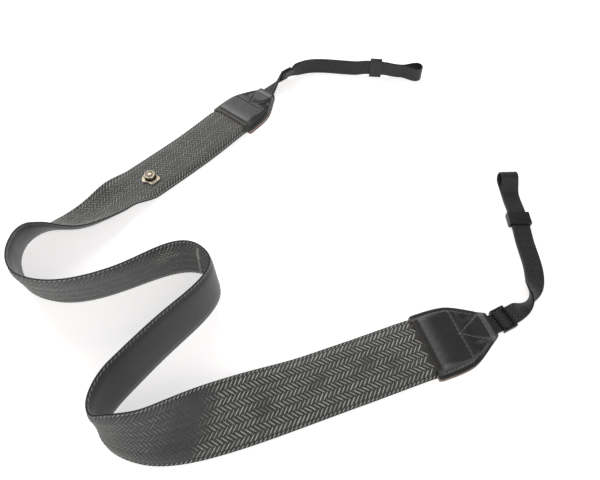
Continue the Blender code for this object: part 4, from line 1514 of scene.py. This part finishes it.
@dataclass
class NeckBand:
    """The woven face, the backing under it, the light floats and the stitches along both edges."""

    layout: BandLayout
    stations: int = 520
    border: float = 0.0020
    rows: int = 9
    pitch: float = 0.00265
    lean: float = np.radians(46)
    light_float: FloatShape = field(default_factory=lambda: FloatShape(0.0049, 0.00072, 0.00024))
    edge_stitch: FloatShape = field(default_factory=lambda: FloatShape(0.0022, 0.00072, 0.0003))
    cross_stitch: FloatShape = field(default_factory=lambda: FloatShape(0.0026, 0.0011, 0.00075))
    stitch_pitch: float = 0.0025
    stitch_inset: float = 0.00105
    edge_drop: float = 0.0021  # how much thinner the band is at its edges
    edge_reach: float = 0.0065
    clasped: float = 0.0004  # thickness of the edges between the tab's leathers
    edge_roll: float = 0.00028  # radius of a layer's rolled edge
    stitch_pull: float = 0.00016  # depth of the dent along the stitches
    middle_seam: float = 0.355  # from the left end, sewn across the band
    seam_lead: float = 0.004  # how far along the band it runs
    seam_short: tuple[float, float] = (0.006, 0.0035)  # of the resting and of the upper edge

    @property
    def row_width(self) -> float:
        """Of one row of the herringbone."""
        return (self.layout.width - 2 * self.border) / self.rows

    @property
    def start(self) -> float:
        """Where the floats start, just inside the tab."""
        return self.layout.tab_overlap - 1.2 * MM

    @property
    def columns(self) -> int:
        """Floats in a row, from tab to tab."""
        return int((self.layout.length - 2 * self.start) / self.pitch)

    def section(self, at: Array, across: Array) -> tuple[Array, Array]:
        """The band's cross-section: sewn thin along its edges, and thinner still inside a tab.

        Args:
            at: Places along the band.
            across: Places across it.

        Returns:
            Heights of its under and its outer side over the flat underside.
        """
        layout = self.layout
        edge = np.minimum(across, layout.width - across)[None, :]
        thin = self.edge_drop * (1 - smooth_step(edge / self.edge_reach))
        rise = smooth_step((edge - 1.6 * MM) / (3.2 * MM))
        between = self.clasped + (layout.thickness - self.clasped) * rise
        from_end = np.minimum(at, layout.length - at)[:, None]
        held = 1 - smooth_step((from_end - layout.tab_overlap + 0.6 * MM) / (4.5 * MM))
        under = 0.35 * thin * (1 - held)
        return under, (layout.thickness - 0.65 * thin) * (1 - held) + between * held

    def layer(self, name: str, outer: bool, finish: Finish) -> tuple[bpy.types.Object, Laid, Laid]:
        """One layer of the band as a closed wall with rolled edges.

        Args:
            name: The piece's name.
            outer: Whether it is the woven face or the backing.
            finish: Its finish.

        Returns:
            The piece, and its outer and its under surface.
        """
        layout = self.layout
        turn = np.radians((8, 26, 44, 62, 78, 90))
        inner = (0.42, 0.62, 0.82, 1.0, 1.2, 1.5, 1.9, 2.5, 3.3, 4.3, 5.4, 6.6, 8.6, 11.5, 14.7, 17.6)
        rolled = self.edge_roll * (1 - np.cos(turn))
        across = both_sides([*rolled, *(np.array(inner) * MM)], layout.width)
        rim = np.array([*np.sin(turn), *np.ones(2 * len(inner)), *np.sin(turn[::-1])])
        at = np.linspace(0, layout.length, self.stations)
        under, over = self.section(at, across)
        joint = (under + over) / 2
        low, high = (joint + GAP / 6, over) if outer else (under, joint - GAP / 6)
        edge = np.minimum(across, layout.width - across)
        pull = self.stitch_pull * np.exp(-(((edge - self.stitch_inset) / (0.5 * MM)) ** 2))
        half = (high - low) / 2 * rim
        sides = []
        for height in ((low + high) / 2 + half - (pull if outer else 0), (low + high) / 2 - half):
            points, facing = layout.place(at, across, height)
            lay = np.stack(np.broadcast_arrays(at[:, None], across[None, :], height), axis=-1)
            sides.append(Laid(points, lay, facing))
        top, bottom = sides
        layers = {"lay": (top.lay, bottom.lay)}
        return make_shell(name, top.points, bottom.points, finish.build(), layers), top, bottom

    def floats(self, shop: Workshop, face: Laid) -> bpy.types.Object:
        """The light yarn's floats, leaning one way and the other from row to row.

        Args:
            shop: Trees and finishes.
            face: The surface that they lie on.

        Returns:
            The piece.
        """
        sizes = {
            "Columns": self.columns,
            "Rows": self.rows,
            "Pitch": self.pitch,
            "Row Width": self.row_width,
            "Start Along": self.start,
            "Start Across": self.border + self.row_width / 2,
            "Lean": self.lean,
            "Next Row Lean": -self.lean,
            "Next Row Start": self.pitch / 2,
            "Turn Jitter": np.radians(2.2),
            "Size Jitter": 0.06,
            "Seed": 11,
        }
        yarn = FloatYarn("light_yarn", self.layout.length).build()
        return shop.weave.run("band_floats", face, yarn, self.light_float, sizes)

    def seams(self, shop: Workshop, face: Laid, back: Laid) -> list[bpy.types.Object]:
        """The stitches along both edges between the tabs, on both sides, and across the band.

        Args:
            shop: Trees and finishes.
            face: The woven face's outer surface.
            back: The backing's under surface, seen from below.

        Returns:
            The piece on the face, the one on the back and the one across.
        """
        layout, inset = self.layout, self.stitch_inset
        start, end = layout.tab_overlap, layout.length - layout.tab_overlap
        edges = [[(start, v), (end, v)] for v in (inset, layout.width - inset)]
        low, high = self.seam_short
        across = [[(self.middle_seam, low), (self.middle_seam + self.seam_lead, layout.width - high)]]
        even = {"Pitch": self.stitch_pitch, "Slant": np.radians(36), "Turn Jitter": 0.05, "Size Jitter": 0.04}
        loose = {"Pitch": 0.0024, "Slant": np.radians(80), "Turn Jitter": 0.1, "Size Jitter": 0.12}
        along_edges, over_band = (self.edge_stitch, even, edges), (self.cross_stitch, loose, across)
        made = []
        for name, laid, thread, (shape, sizes, lines) in (
            ("face_stitches", face, Thread("edge_thread", srgb(178, 178, 172)), along_edges),
            ("back_stitches", back, Thread("back_thread", srgb(138, 139, 138)), along_edges),
            ("cross_stitches", face, Thread("seam_thread", srgb(215, 215, 208)), over_band),
        ):
            path = flat_lines(f"{name}_lines", lines)
            made.append(shop.stitches.run(name, laid, thread.build(), shape, sizes, path))
        return made

    def make(self, shop: Workshop) -> None:
        """Builds and settles every piece of the band.

        Args:
            shop: Trees and finishes.
        """
        layout = self.layout
        face, top, _ = self.layer("woven_face", True, WovenGround("woven_ground", self))
        backing, _, under = self.layer("smooth_backing", False, Brushed("brushed_backing", layout.width))
        floats = self.floats(shop, top)
        on_face, on_back, across = self.seams(shop, top, under.turned_over(layout.width))
        shop.settle(face, Slot.HERRINGBONE, "band_face")
        shop.settle(backing, Slot.BACKING, "band_backing")
        for piece in (floats, on_face, across):
            shop.settle(piece, Slot.HERRINGBONE)
        shop.settle(on_back, Slot.BACKING)


RIM_STEPS = (  # millimetres in from a tab's outline, and shares of the leather's thickness there
    (0.0, 0.03), (0.0, 0.33), (0.0, 0.40), (0.02, 0.66), (0.10, 0.82), (0.25, 0.93),
    (0.50, 1.0),
)


class TabPlaces(NamedTuple):
    """Places on a tab laid flat, as grids."""

    along: Array  # from the wide end
    aside: Array  # from the middle line
    half: Array  # half of the tab's width there
    share: Array  # of the leather's thickness, which falls off at the cut edge


@dataclass
class LeatherTab:
    """Two layers of leather that clasp an end of the band and the webbing sewn in beyond it."""

    side: Side
    layout: BandLayout
    length: float = 0.045
    margin: float = 0.0023  # of leather beside the band
    mouth_margin: float = 0.003
    webbing_width: float = 0.012
    webbing_thickness: float = 0.0009
    padding_height: float = 0.0013
    step: float = 0.009  # along the tab, from the band's height to the webbing's
    flat_rim: float = 0.0019  # where both leathers lie on each other beside the band
    shoulder: float = 0.0029  # from the flat rim up to the band
    crease: float = 0.0024  # from the outline
    seam_inset: float = 0.0032
    cross_seam: float = 0.0226  # from the wide end
    vee_start: float = 0.0385
    press_from: float = 0.0396
    press_to: float = 0.0430
    # where the painted highlight runs over the padding's ridge, measured from the wide end
    ridge: float = 0.0033  # of the padding, from the wide end
    upper_inset: float = 0.0002  # of the upper leather's outline
    seam_depth: float = 0.00042
    seam_reach: float = 0.00055
    press_depth: float = 0.00035
    press_edge: float = 0.00035
    crease_depth: float = 0.00018
    crease_reach: float = 0.0003
    stitch: FloatShape = field(default_factory=lambda: FloatShape(0.0024, 0.0005, 0.00028, along=6))
    stitch_pitch: float = 0.0028

    def __post_init__(self) -> None:
        """Places the tab at its end of the band."""
        self.frame = self.layout.end_frame(self.side)
        self.overlap = self.layout.tab_overlap

    def half_width(self, along: Array) -> Array:
        """Half of the tab's width.

        Args:
            along: Places from the wide end.

        Returns:
            The half width at each place.
        """
        wide = self.layout.width / 2 + self.margin
        mouth = self.webbing_width / 2 + self.mouth_margin
        knots, widths = np.array(TAB_ROWS).T
        return mouth + (wide - mouth) * eased_spline(knots, widths, along / self.length)

    def placed(self, at: TabPlaces, height: Array) -> Array:
        """Points of the tab in the strap's frame."""
        local = np.stack([at.along - self.overlap, at.aside, height], axis=-1)
        return local @ np.array(self.frame.to_3x3()).T + np.array(self.frame.translation)

    def padding(self, at: TabPlaces) -> Array:
        """How much padding lies under the upper leather.

        Args:
            at: Places on the tab.

        Returns:
            A share from 0 to 1.
        """
        shares = []
        places = (at.along / self.overlap, 2 * np.abs(at.aside) / self.layout.width)
        for rows, place in zip((PADDING_ALONG, PADDING_ACROSS), places):
            knots, values = np.array(rows).T
            shares.append(eased_spline(knots, values, np.clip(place, knots[0], knots[-1])))
        return shares[0] * shares[1]

    def underside(self, at: TabPlaces) -> Array:
        """Height of the upper leather's underside: over the band, flat beside it, then over the webbing.

        Args:
            at: Places on the tab.

        Returns:
            Heights over the surface.
        """
        over_band = self.layout.thickness + GAP
        over_webbing = self.webbing_thickness + GAP
        wide = over_band * smooth_step((at.half - np.abs(at.aside) - self.flat_rim) / self.shoulder)
        beside = smooth_step((np.abs(at.aside) - self.webbing_width / 2 - GAP) / self.mouth_margin)
        ahead = smooth_step((at.along - self.overlap - 2 * GAP) / self.step)
        return CLASP_HEIGHT + wide * (1 - ahead) + over_webbing * (1 - beside) * ahead

    def creased(self, at: TabPlaces, past: float, width: float) -> Array:
        """A line that runs inside the outline, round the wide end and both sides.

        Args:
            at: Places on the tab.
            past: How far inside the crease it runs.
            width: Half of its width.

        Returns:
            A share from 0 to 1.
        """
        inside = np.minimum(at.half - np.abs(at.aside), at.along)
        until = smooth_step((self.press_from - at.along) / (2 * MM))
        return until * np.exp(-(((inside - self.crease - past) / width) ** 2))

    def glints(self, at: TabPlaces) -> Array:
        """Painted highlights on the leather: beside its crease, over the padding's ridge and past the seam.

        Args:
            at: Places on the tab.

        Returns:
            A share from 0 to 1.
        """
        crease = 0.35 * self.creased(at, 0.5 * MM, 0.22 * MM)
        inner = smooth_step((at.half - np.abs(at.aside) - self.crease - MM) / (2 * MM))
        over, seam = at.along - self.ridge, at.along - self.cross_seam - 0.75 * MM
        ridge = np.exp(-((over / (0.4 * MM)) ** 2))
        highlight_share = 0.8 * (over > 0) * np.exp(-((over / (4.5 * MM)) ** 2))
        beyond = 0.4 * np.exp(-((seam / (0.25 * MM)) ** 2))
        return np.maximum(crease, inner * np.maximum(np.maximum(ridge, highlight_share), beyond))

    def seams(self) -> list[list[tuple[float, float]]]:
        """Stitch lines on the flat leather: along both sides to the mouth, across, and the vee.

        Returns:
            Each line's corners, along and aside.
        """
        ends = np.linspace(0.004, self.vee_start, 30)
        right = [(float(x), float(y)) for x, y in zip(ends, self.half_width(ends) - self.seam_inset)]
        edge = float(self.half_width(np.array([self.cross_seam]))[0]) - self.seam_inset
        corner, middle = right[-1][1] - MM, (self.cross_seam, 0.0)
        vee = [[(self.vee_start - 0.8 * MM, sign * corner), middle] for sign in (1, -1)]
        left = [(x, -y) for x, y in right]
        return [right, left, [(self.cross_seam, -edge), (self.cross_seam, edge)], *vee]

    def seam_pull(self, at: TabPlaces) -> Array:
        """How near places are to a stitch line.

        Args:
            at: Places on the tab.

        Returns:
            A share from 0 to 1.
        """
        nearest = np.full(at.along.shape, np.inf)
        for line in self.seams():
            corners = np.array(line)
            for first, span in zip(corners, np.diff(corners, axis=0)):
                x, y = at.along - first[0], at.aside - first[1]
                share = np.clip((x * span[0] + y * span[1]) / (span @ span), 0, 1)
                nearest = np.minimum(nearest, np.hypot(x - share * span[0], y - share * span[1]))
        return np.exp(-((nearest / self.seam_reach) ** 2))

    def places(self, rows: int, columns: int, inset: float) -> TabPlaces:
        """Places over the whole tab, with the steps of its cut edge all round.

        Args:
            rows: Places along the tab.
            columns: Places across it.
            inset: How far the outline is drawn in.

        Returns:
            The places.
        """
        steps, shares = np.array(RIM_STEPS).T * ((MM,), (1,))
        inner = np.linspace(steps[-1], self.length - inset - steps[-1], rows)[1:-1]
        along = np.concatenate([inset + steps, inner, self.length - steps[::-1]])
        down = np.concatenate([shares, np.ones(rows - 2), shares[::-1]])
        half = self.half_width(along)[:, None] - inset
        core = np.linspace(-1, 1, columns)[1:-1] * (half - steps[-1])
        aside = np.concatenate([steps - half, core, half - steps[::-1]], axis=1)
        over = np.concatenate([shares, np.ones(columns - 2), shares[::-1]])
        grids = np.broadcast_arrays(along[:, None], aside, half, np.minimum(down[:, None], over))
        return TabPlaces(*grids)

    def leather(
        self, name: str, at: TabPlaces, heights: tuple[Array, Array], shop: Workshop, **marks: Array
    ) -> bpy.types.Object:
        """A leather as a closed wall.

        Args:
            name: Its name after the tab's side.
            at: Places on the tab.
            heights: Of its outer and its under side.
            shop: Trees and finishes.
            **marks: How much its outer side is drawn to a seam, painted darker there as shade, and its share
                     of painted highlight on the pressed strip and the glints.

        Returns:
            The piece.
        """
        top, bottom = (self.placed(at, height) for height in heights)
        layers = {"lay": tuple(np.stack([at.along, at.aside, height], axis=-1) for height in heights)}
        layers["cut"] = (at.share, np.ones_like(at.share))
        flat = np.zeros_like(at.share)
        for mark in ("seam", "press"):
            layers[mark] = (marks.get(mark, flat) * (at.share > 0.5), flat)
        return make_shell(f"{self.side.value}_leather_{name}", top, bottom, shop.leather, layers, sharp=1.2)

    def upper(self, shop: Workshop) -> tuple[bpy.types.Object, Laid]:
        """The upper leather: padded at its wide end, stepped down to the webbing, stitched and pressed.

        Args:
            shop: Trees and finishes.

        Returns:
            The piece, and its outer surface for the stitches.
        """
        at = self.places(110, 100, self.upper_inset)
        low = self.underside(at)
        seam = self.seam_pull(at)
        press = smooth_step((at.along - self.press_from) / self.press_edge)
        press = press * smooth_step((self.press_to - at.along) / self.press_edge)
        top = low + LEATHER + self.padding_height * self.padding(at)
        top -= self.seam_depth * seam + self.press_depth * press
        top -= self.crease_depth * self.creased(at, 0.0, self.crease_reach)
        high = low + np.maximum(top - low, 0.4 * MM) * at.share
        # painted highlight: the pressed strip and the glints
        highlight_share = np.maximum(press, self.glints(at))
        piece = self.leather("upper", at, (high, low), shop, seam=seam, press=highlight_share)
        points, lay = self.placed(at, high), np.stack([at.along, at.aside, high], axis=-1)
        square = np.cross(np.gradient(points, axis=0), np.gradient(points, axis=1))
        core = (slice(len(RIM_STEPS) - 1, 1 - len(RIM_STEPS)),) * 2
        return piece, Laid(points[core], lay[core], unit(square[core]))

    def lower(self, shop: Workshop) -> bpy.types.Object:
        """The lower leather, which lies on the surface."""
        at = self.places(40, 30, 0.0)
        return self.leather("lower", at, (LEATHER * at.share, np.zeros_like(at.share)), shop)

    def make(self, shop: Workshop) -> None:
        """Builds and settles both leathers and their stitches.

        Args:
            shop: Trees and finishes.
        """
        side = self.side.value
        upper, laid = self.upper(shop)
        lower = self.lower(shop)
        path = flat_lines("tab_seams", self.seams())
        sizes = {"Pitch": self.stitch_pitch, "Slant": np.radians(8), "Turn Jitter": 0.05, "Size Jitter": 0.06}
        thread = shop.leather_thread[self.side]
        stitches = shop.stitches.run(f"{side}_tab_stitches", laid, thread, self.stitch, sizes, path)
        shop.settle(upper, Slot.LEATHER, f"{side}_tab_upper")
        shop.settle(lower, Slot.LEATHER, f"{side}_tab_lower")
        shop.settle(stitches, Slot.LEATHER)


@dataclass
class Webbing:
    """A strip of nylon webbing with staggered floats on both sides."""

    layout: WebbingLayout
    columns: int = 9
    pitch: float = 0.0021
    border: float = 0.0007
    yarn_float: FloatShape = field(
        default_factory=lambda: FloatShape(0.00185, 0.00098, 0.00013, sink=0.00005, along=4, across=3)
    )

    def strip(self) -> tuple[Array, Array, Array, Array]:
        """The strip's middle surface.

        Returns:
            Its points, the across and facing directions, and how far along the strip each point is.
        """
        path = self.layout.strip_path()
        middle, across, facing = self.layout.frames(path[:, 0])
        place = middle + facing * path[:, 1:2]
        ahead = unit(np.gradient(place, axis=0))
        square = unit(np.cross(across, ahead))
        return place, across, square, arc_lengths(place)

    def laid(self, height: float, places: Array) -> Laid:
        """A surface of the strip.

        Args:
            height: Its height over the strip's middle.
            places: Places across it.

        Returns:
            The surface.
        """
        place, across, square, along = self.strip()
        aside = places - self.layout.width / 2
        points = place[:, None] + across[:, None] * aside[:, None] + square[:, None] * height
        lay = np.stack(np.broadcast_arrays(along[:, None], places[None, :], height), axis=-1)
        return Laid(points, lay, np.broadcast_to(square[:, None], points.shape))

    def shell(self, name: str, shop: Workshop) -> bpy.types.Object:
        """The strip as a closed wall with round edges.

        Args:
            name: The piece's name.
            shop: Trees and finishes.

        Returns:
            The piece.
        """
        radius, turn = self.layout.thickness / 2, np.radians((10, 35, 62, 90))
        rim = [*(radius * (1 - np.cos(turn))), 1.2 * MM, 3.0 * MM, 4.8 * MM]
        half = np.array([*(radius * np.sin(turn)), radius, radius, radius])
        half = np.concatenate([half, half[::-1]])[:, None]
        middle = self.laid(0.0, both_sides(rim, self.layout.width))
        outer, inner = (middle.points + middle.facing * (sign * half) for sign in (1, -1))
        lay = middle.lay[:, ::-1]
        return make_shell(name, outer[:, ::-1], inner[:, ::-1], shop.nylon, {"lay": (lay, lay)})

    def make(self, shop: Workshop) -> None:
        """Builds and settles the strip and its floats.

        Args:
            shop: Trees and finishes.
        """
        side, layout = self.layout.side.value, self.layout
        strip = self.shell(f"{side}_webbing_strip", shop)
        length = float(self.strip()[3][-1])
        places = np.linspace(0, layout.width, 7)
        shop.settle(strip, Slot.WEBBING, f"{side}_webbing")
        front = self.laid(layout.thickness / 2, places).turned_over(layout.width)
        front.facing = -front.facing
        back = self.laid(-layout.thickness / 2, places)
        back.facing = -back.facing
        row_width = (layout.width - 2 * self.border) / self.columns
        sizes = {
            "Columns": int((length - 2.4 * MM) / self.pitch),
            "Rows": self.columns,
            "Pitch": self.pitch,
            "Row Width": row_width,
            "Start Along": 1.2 * MM,
            "Start Across": self.border + row_width / 2,
            "Next Row Start": self.pitch / 2,
            "Turn Jitter": 0.03,
            "Size Jitter": 0.04,
        }
        pieces = []
        for name, laid in (("outer", front), ("inner", back)):
            label = f"{side}_webbing_floats_{name}"
            pieces.append(shop.weave.run(label, laid, shop.nylon_float, self.yarn_float, sizes))
            shop.settle(pieces[-1], Slot.WEBBING)
        LOG.info("%s webbing: strip %.1f mm long", side, length / MM)
        return pieces


@dataclass
class Mouldings:
    """The sliders and keepers: the solids' own shapes with their edges rounded."""

    nodes: tuple[str, ...] = ("left_slider", "right_slider", "left_keeper", "right_keeper")
    rounding: float = 0.00026
    segments: int = 3

    def rounded_copy(self, solid: bpy.types.Object, material: bpy.types.Material) -> bpy.types.Object:
        """A copy of a solid's mesh, merged, with its flat faces whole and its edges rounded.

        Args:
            solid: The frame's solid.
            material: The copy's finish.

        Returns:
            The new piece.
        """
        bm = bmesh.new()
        bm.from_mesh(solid.data)
        bmesh.ops.remove_doubles(bm, verts=bm.verts, dist=0.000005)
        bmesh.ops.dissolve_limit(bm, angle_limit=np.radians(2), verts=bm.verts, edges=bm.edges)
        bmesh.ops.recalc_face_normals(bm, faces=bm.faces)
        sharp = [edge for edge in bm.edges if len(edge.link_faces) == 2 and edge.calc_face_angle(0) > 0.6]
        size = {"offset": self.rounding, "segments": self.segments, "profile": 0.5}
        bmesh.ops.bevel(bm, geom=sharp, affect="EDGES", clamp_overlap=True, **size)
        mesh = bpy.data.meshes.new(f"{solid.name}_moulding")
        bm.to_mesh(mesh)
        bm.free()
        mesh.materials.append(material)
        mesh.shade_smooth()
        mesh.set_sharp_from_angle(angle=0.7)
        return add_object(mesh.name, mesh)

    def make(self, shop: Workshop) -> None:
        """Builds and settles each moulding."""
        for node in self.nodes:
            shop.settle(self.rounded_copy(shop.nodes[node], shop.plastic), Slot.PLASTIC, node)


BADGE_OUTLINE = (  # along and across the band from the boss, as shares of the plate's length
    (-0.64, -0.14), (-0.44, -0.30), (-0.44, -0.64), (-0.32, -0.72), (0.24, -0.72),
    (0.35, -0.64), (0.34, -0.38), (0.30, 0.10), (0.10, 0.36), (-0.34, 0.40), (-0.64, 0.10),
)

PLATE_RIM = (  # millimetres in from the outline, and shares of the plate's thickness, from its base up
    (0.0, 0.0), (0.0, 0.7), (0.08, 0.92), (0.25, 1.0), (0.60, 1.0), (0.80, 0.86), (1.10, 0.72),
)

BOSS_PROFILE = (  # shares of the boss's radius and height, from its crown down its outer side
    (0.0, 1.0), (0.14, 0.985), (0.28, 0.93), (0.40, 0.83), (0.48, 0.70), (0.53, 0.58),
    (0.58, 0.53), (0.64, 0.56), (0.70, 0.74), (0.76, 0.86), (0.83, 0.90), (0.90, 0.86),
    (0.96, 0.74), (1.0, 0.55), (1.0, 0.0),
)


@dataclass
class Badge:
    """A small cast plate riveted to the band's face, with a raised round boss."""

    layout: BandLayout
    from_end: float = 0.104
    length: float = 0.0114
    thickness: float = 0.0008
    boss_radius: float = 0.0043
    boss_height: float = 0.0017
    sides: int = 56

    def frame(self) -> Matrix:
        """The plate's frame: the boss in the middle, X ahead along the band to its left end, Z off it.

        Returns:
            The frame's matrix.
        """
        at = np.array([self.from_end, self.from_end + self.length])
        across = np.array([0, 0.5, 1]) * self.layout.width
        base, _ = self.layout.place(at, across, np.array(self.layout.thickness + GAP))
        middle, next_middle = Vector(base[0, 1]), Vector(base[1, 1])
        ahead = (middle - next_middle).normalized()
        up = ahead.cross(Vector(base[0, 0] - base[0, -1])).normalized()
        frame = Matrix((ahead, up.cross(ahead), up)).transposed().to_4x4()
        frame.translation = middle
        return frame

    def plate(self) -> tuple[Array, Array]:
        """The plate: its outline with a raised, rounded rim and a hollow field.

        Returns:
            Its points, ring by ring from its foot and then both middles, and how far each is raised.
        """
        corners = np.array(BADGE_OUTLINE) * self.length
        for _ in range(3):
            after = np.roll(corners, -1, axis=0)
            cut = (0.8 * corners + 0.2 * after, 0.2 * corners + 0.8 * after)
            corners = np.stack(cut, axis=1).reshape(-1, 2)
        ahead = unit(np.roll(corners, -1, axis=0) - np.roll(corners, 1, axis=0))
        inward = np.stack([-ahead[:, 1], ahead[:, 0]], axis=-1)
        rings = [
            np.column_stack([corners + inward * inset * MM, np.full(len(corners), height)])
            for inset, height in PLATE_RIM
        ]
        points = np.concatenate([*rings, [[0, 0, PLATE_RIM[-1][1]], [0, 0, 0]]])
        raised = points[:, 2].copy()
        raised[: 2 * len(corners)] = 1.0
        raised[-2] = 0.6
        return points * (1, 1, self.thickness), raised

    def boss(self) -> tuple[Array, Array]:
        """The boss, turned from its profile.

        Returns:
            Its points, ring by ring from its foot and then both middles, and how far each is raised.
        """
        turn = np.linspace(0, 2 * np.pi, self.sides, endpoint=False)
        circle = np.column_stack([np.cos(turn), np.sin(turn), np.ones(self.sides)])
        rings = [circle * (radius, radius, height) for radius, height in BOSS_PROFILE[:0:-1]]
        points = np.concatenate([*rings, [[0, 0, BOSS_PROFILE[0][1]], [0, 0, 0]]])
        return points * (self.boss_radius, self.boss_radius, self.boss_height), 0.45 + 0.55 * points[:, 2]

    def piece(
        self, name: str, shape: tuple[Array, Array], rings: int, lift: float, shop: Workshop
    ) -> bpy.types.Object:
        """A closed piece of the badge in its place on the band.

        Args:
            name: The piece's name.
            shape: Its points over the band and how far each is raised, for the patina.
            rings: How many rings of points it has.
            lift: Its height over the band.
            shop: Trees and finishes.

        Returns:
            The piece.
        """
        points, raised = shape
        hub = len(points) - 2
        count = hub // rings
        faces = grid_faces(rings, count, closed=True)
        for i in range(count):
            j = (i + 1) % count
            faces += [[hub - count + i, hub, hub - count + j], [i, j, hub + 1]]
        frame = self.frame() @ Matrix.Translation((0, 0, lift))
        placed = points @ np.array(frame.to_3x3()).T + np.array(frame.translation)
        made = make_object(name, placed, faces, shop.brass, {"raised": raised}, sharp=0.9)
        bm = bmesh.new()
        bm.from_mesh(made.data)
        bmesh.ops.recalc_face_normals(bm, faces=bm.faces)
        bm.to_mesh(made.data)
        bm.free()
        return made

    def make(self, shop: Workshop) -> None:
        """Builds and settles the plate and the boss.

        Args:
            shop: Trees and finishes.
        """
        rings, lift = len(BOSS_PROFILE) - 1, self.thickness + GAP
        cast = self.piece("badge_cast_plate", self.plate(), len(PLATE_RIM), 0.0, shop)
        turned = self.piece("badge_turned_boss", self.boss(), rings, lift, shop)
        shop.settle(cast, Slot.BRASS, "badge_plate")
        shop.settle(turned, Slot.BRASS, "badge_boss")


# Studio


@dataclass
class SoftLight:
    """A square light that points at the strap."""

    name: str
    place: tuple[float, float, float]
    size: float
    power: float
    colour: Colour = (1.0, 1.0, 1.0)

    def add(self) -> None:
        """Adds the light."""
        data = bpy.data.lights.new(self.name, "AREA")
        data.shape = "SQUARE"
        data.size = self.size
        data.energy = self.power
        data.color = self.colour
        lamp = add_object(self.name, data)
        lamp.location = self.place
        lamp.rotation_euler = Vector(self.place).to_track_quat("Z", "Y").to_euler()


@dataclass
class Studio:
    """The pale floor, the soft lights and the camera at the photograph's view."""

    floor_half: float = 4.0
    world: float = 0.30
    camera_place: tuple[float, float, float] = (0.0159, -0.2128, 0.2792)
    camera_down: float = 55.52  # degrees under the horizon
    camera_roll: float = -2.08
    camera_lens: float = 29.64  # on a sensor 36 mm wide
    lights: tuple[SoftLight, ...] = (
        SoftLight("window", (-0.42, 0.92, 0.78), 1.0, 9.5, (1.0, 0.985, 0.965)),
        SoftLight("fill", (0.9, -1.2, 1.3), 1.2, 11.6, (1.0, 0.985, 0.965)),
    )

    def floor(self) -> None:
        """A large plane under the strap."""
        half = self.floor_half
        corners = [(-half, -half), (half, -half), (half, half), (-half, half)]
        points = np.array([(x, y, 0.0) for x, y in corners])
        top = Tabletop("tabletop").build()
        make_object("studio_floor", points, [[0, 1, 2, 3]], top)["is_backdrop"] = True

    def sky(self) -> None:
        """Even white light from all round."""
        world = bpy.data.worlds.new("soft_white")
        world.use_nodes = True
        background = world.node_tree.nodes["Background"]
        background.inputs["Color"].default_value = (0.97, 0.98, 1.0, 1)
        background.inputs["Strength"].default_value = self.world
        bpy.context.scene.world = world

    def camera(self) -> None:
        """The camera, from its place, tilt and roll."""
        down, roll = np.radians(self.camera_down), np.radians(self.camera_roll)
        forward = Vector((0, np.cos(down), -np.sin(down)))
        level = Vector((1, 0, 0))
        over = level.cross(forward)
        right = level * np.cos(roll) + over * np.sin(roll)
        up = over * np.cos(roll) - level * np.sin(roll)
        data = bpy.data.cameras.new("viewpoint")
        data.lens = self.camera_lens
        data.clip_start = 0.01
        camera = add_object("viewpoint", data)
        turn = Matrix((right, up, -forward)).transposed().to_4x4()
        camera.matrix_world = Matrix.Translation(self.camera_place) @ turn
        bpy.context.scene.camera = camera

    def make(self) -> None:
        """Sets the studio up."""
        self.camera()
        self.sky()
        self.floor()
        for light in self.lights:
            light.add()
        view = bpy.context.scene.view_settings
        view.view_transform = "Standard"
        view.look = "None"


def shift_to_frame(layout: BandLayout) -> Array:
    """How far the layout has to move so that the band's face lies in its solid.

    Args:
        layout: The band's layout, not moved yet.

    Returns:
        The way along X, Y and Z.
    """
    at = np.linspace(0, layout.length, FINE)
    across = np.array([0, layout.width])
    heights = (layout.backing + GAP, layout.thickness)
    points = np.concatenate([layout.place(at, across, np.array(height))[0] for height in heights])
    points = points.reshape(-1, 3)
    low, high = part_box("band_face")
    middle = (np.array(low) + np.array(high)) / 2
    shift = middle - (points.min(axis=0) + points.max(axis=0)) / 2
    shift[2] = 0
    return shift


def corners_of(bounds: Iterable) -> list[list[float]]:
    """A box's corners as plain lists."""
    return [[float(value) for value in corner] for corner in bounds]


def main() -> dict[str, list]:
    """Builds the strap and the studio.
    """
    logging.basicConfig(level=logging.INFO, format="%(name)s: %(message)s")
    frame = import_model()
    sizes = {"cad": corners_of(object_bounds())}
    Studio().make()
    (body,) = frame["bodies"]
    shop = Workshop(body, frame["nodes"])
    band = BandLayout()
    band.shift = shift_to_frame(band)
    LOG.info("layout moved by %s mm", np.round(band.shift / MM, 3))
    NeckBand(band).make(shop)
    for side, run, slider_start, bias in ((Side.LEFT, 0.146, 0.0175, 0.0), (Side.RIGHT, 0.136, 0.0042, 1.0)):
        tab = LeatherTab(side, band)
        tab.make(shop)
        Webbing(WebbingLayout(side, tab.frame, run, slider_start, bias)).make(shop)
    Mouldings().make(shop)
    Badge(band).make(shop)
    return sizes


if __name__ == "__main__":
    SIZES = main()
    SIZES["visual"] = corners_of(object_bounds())
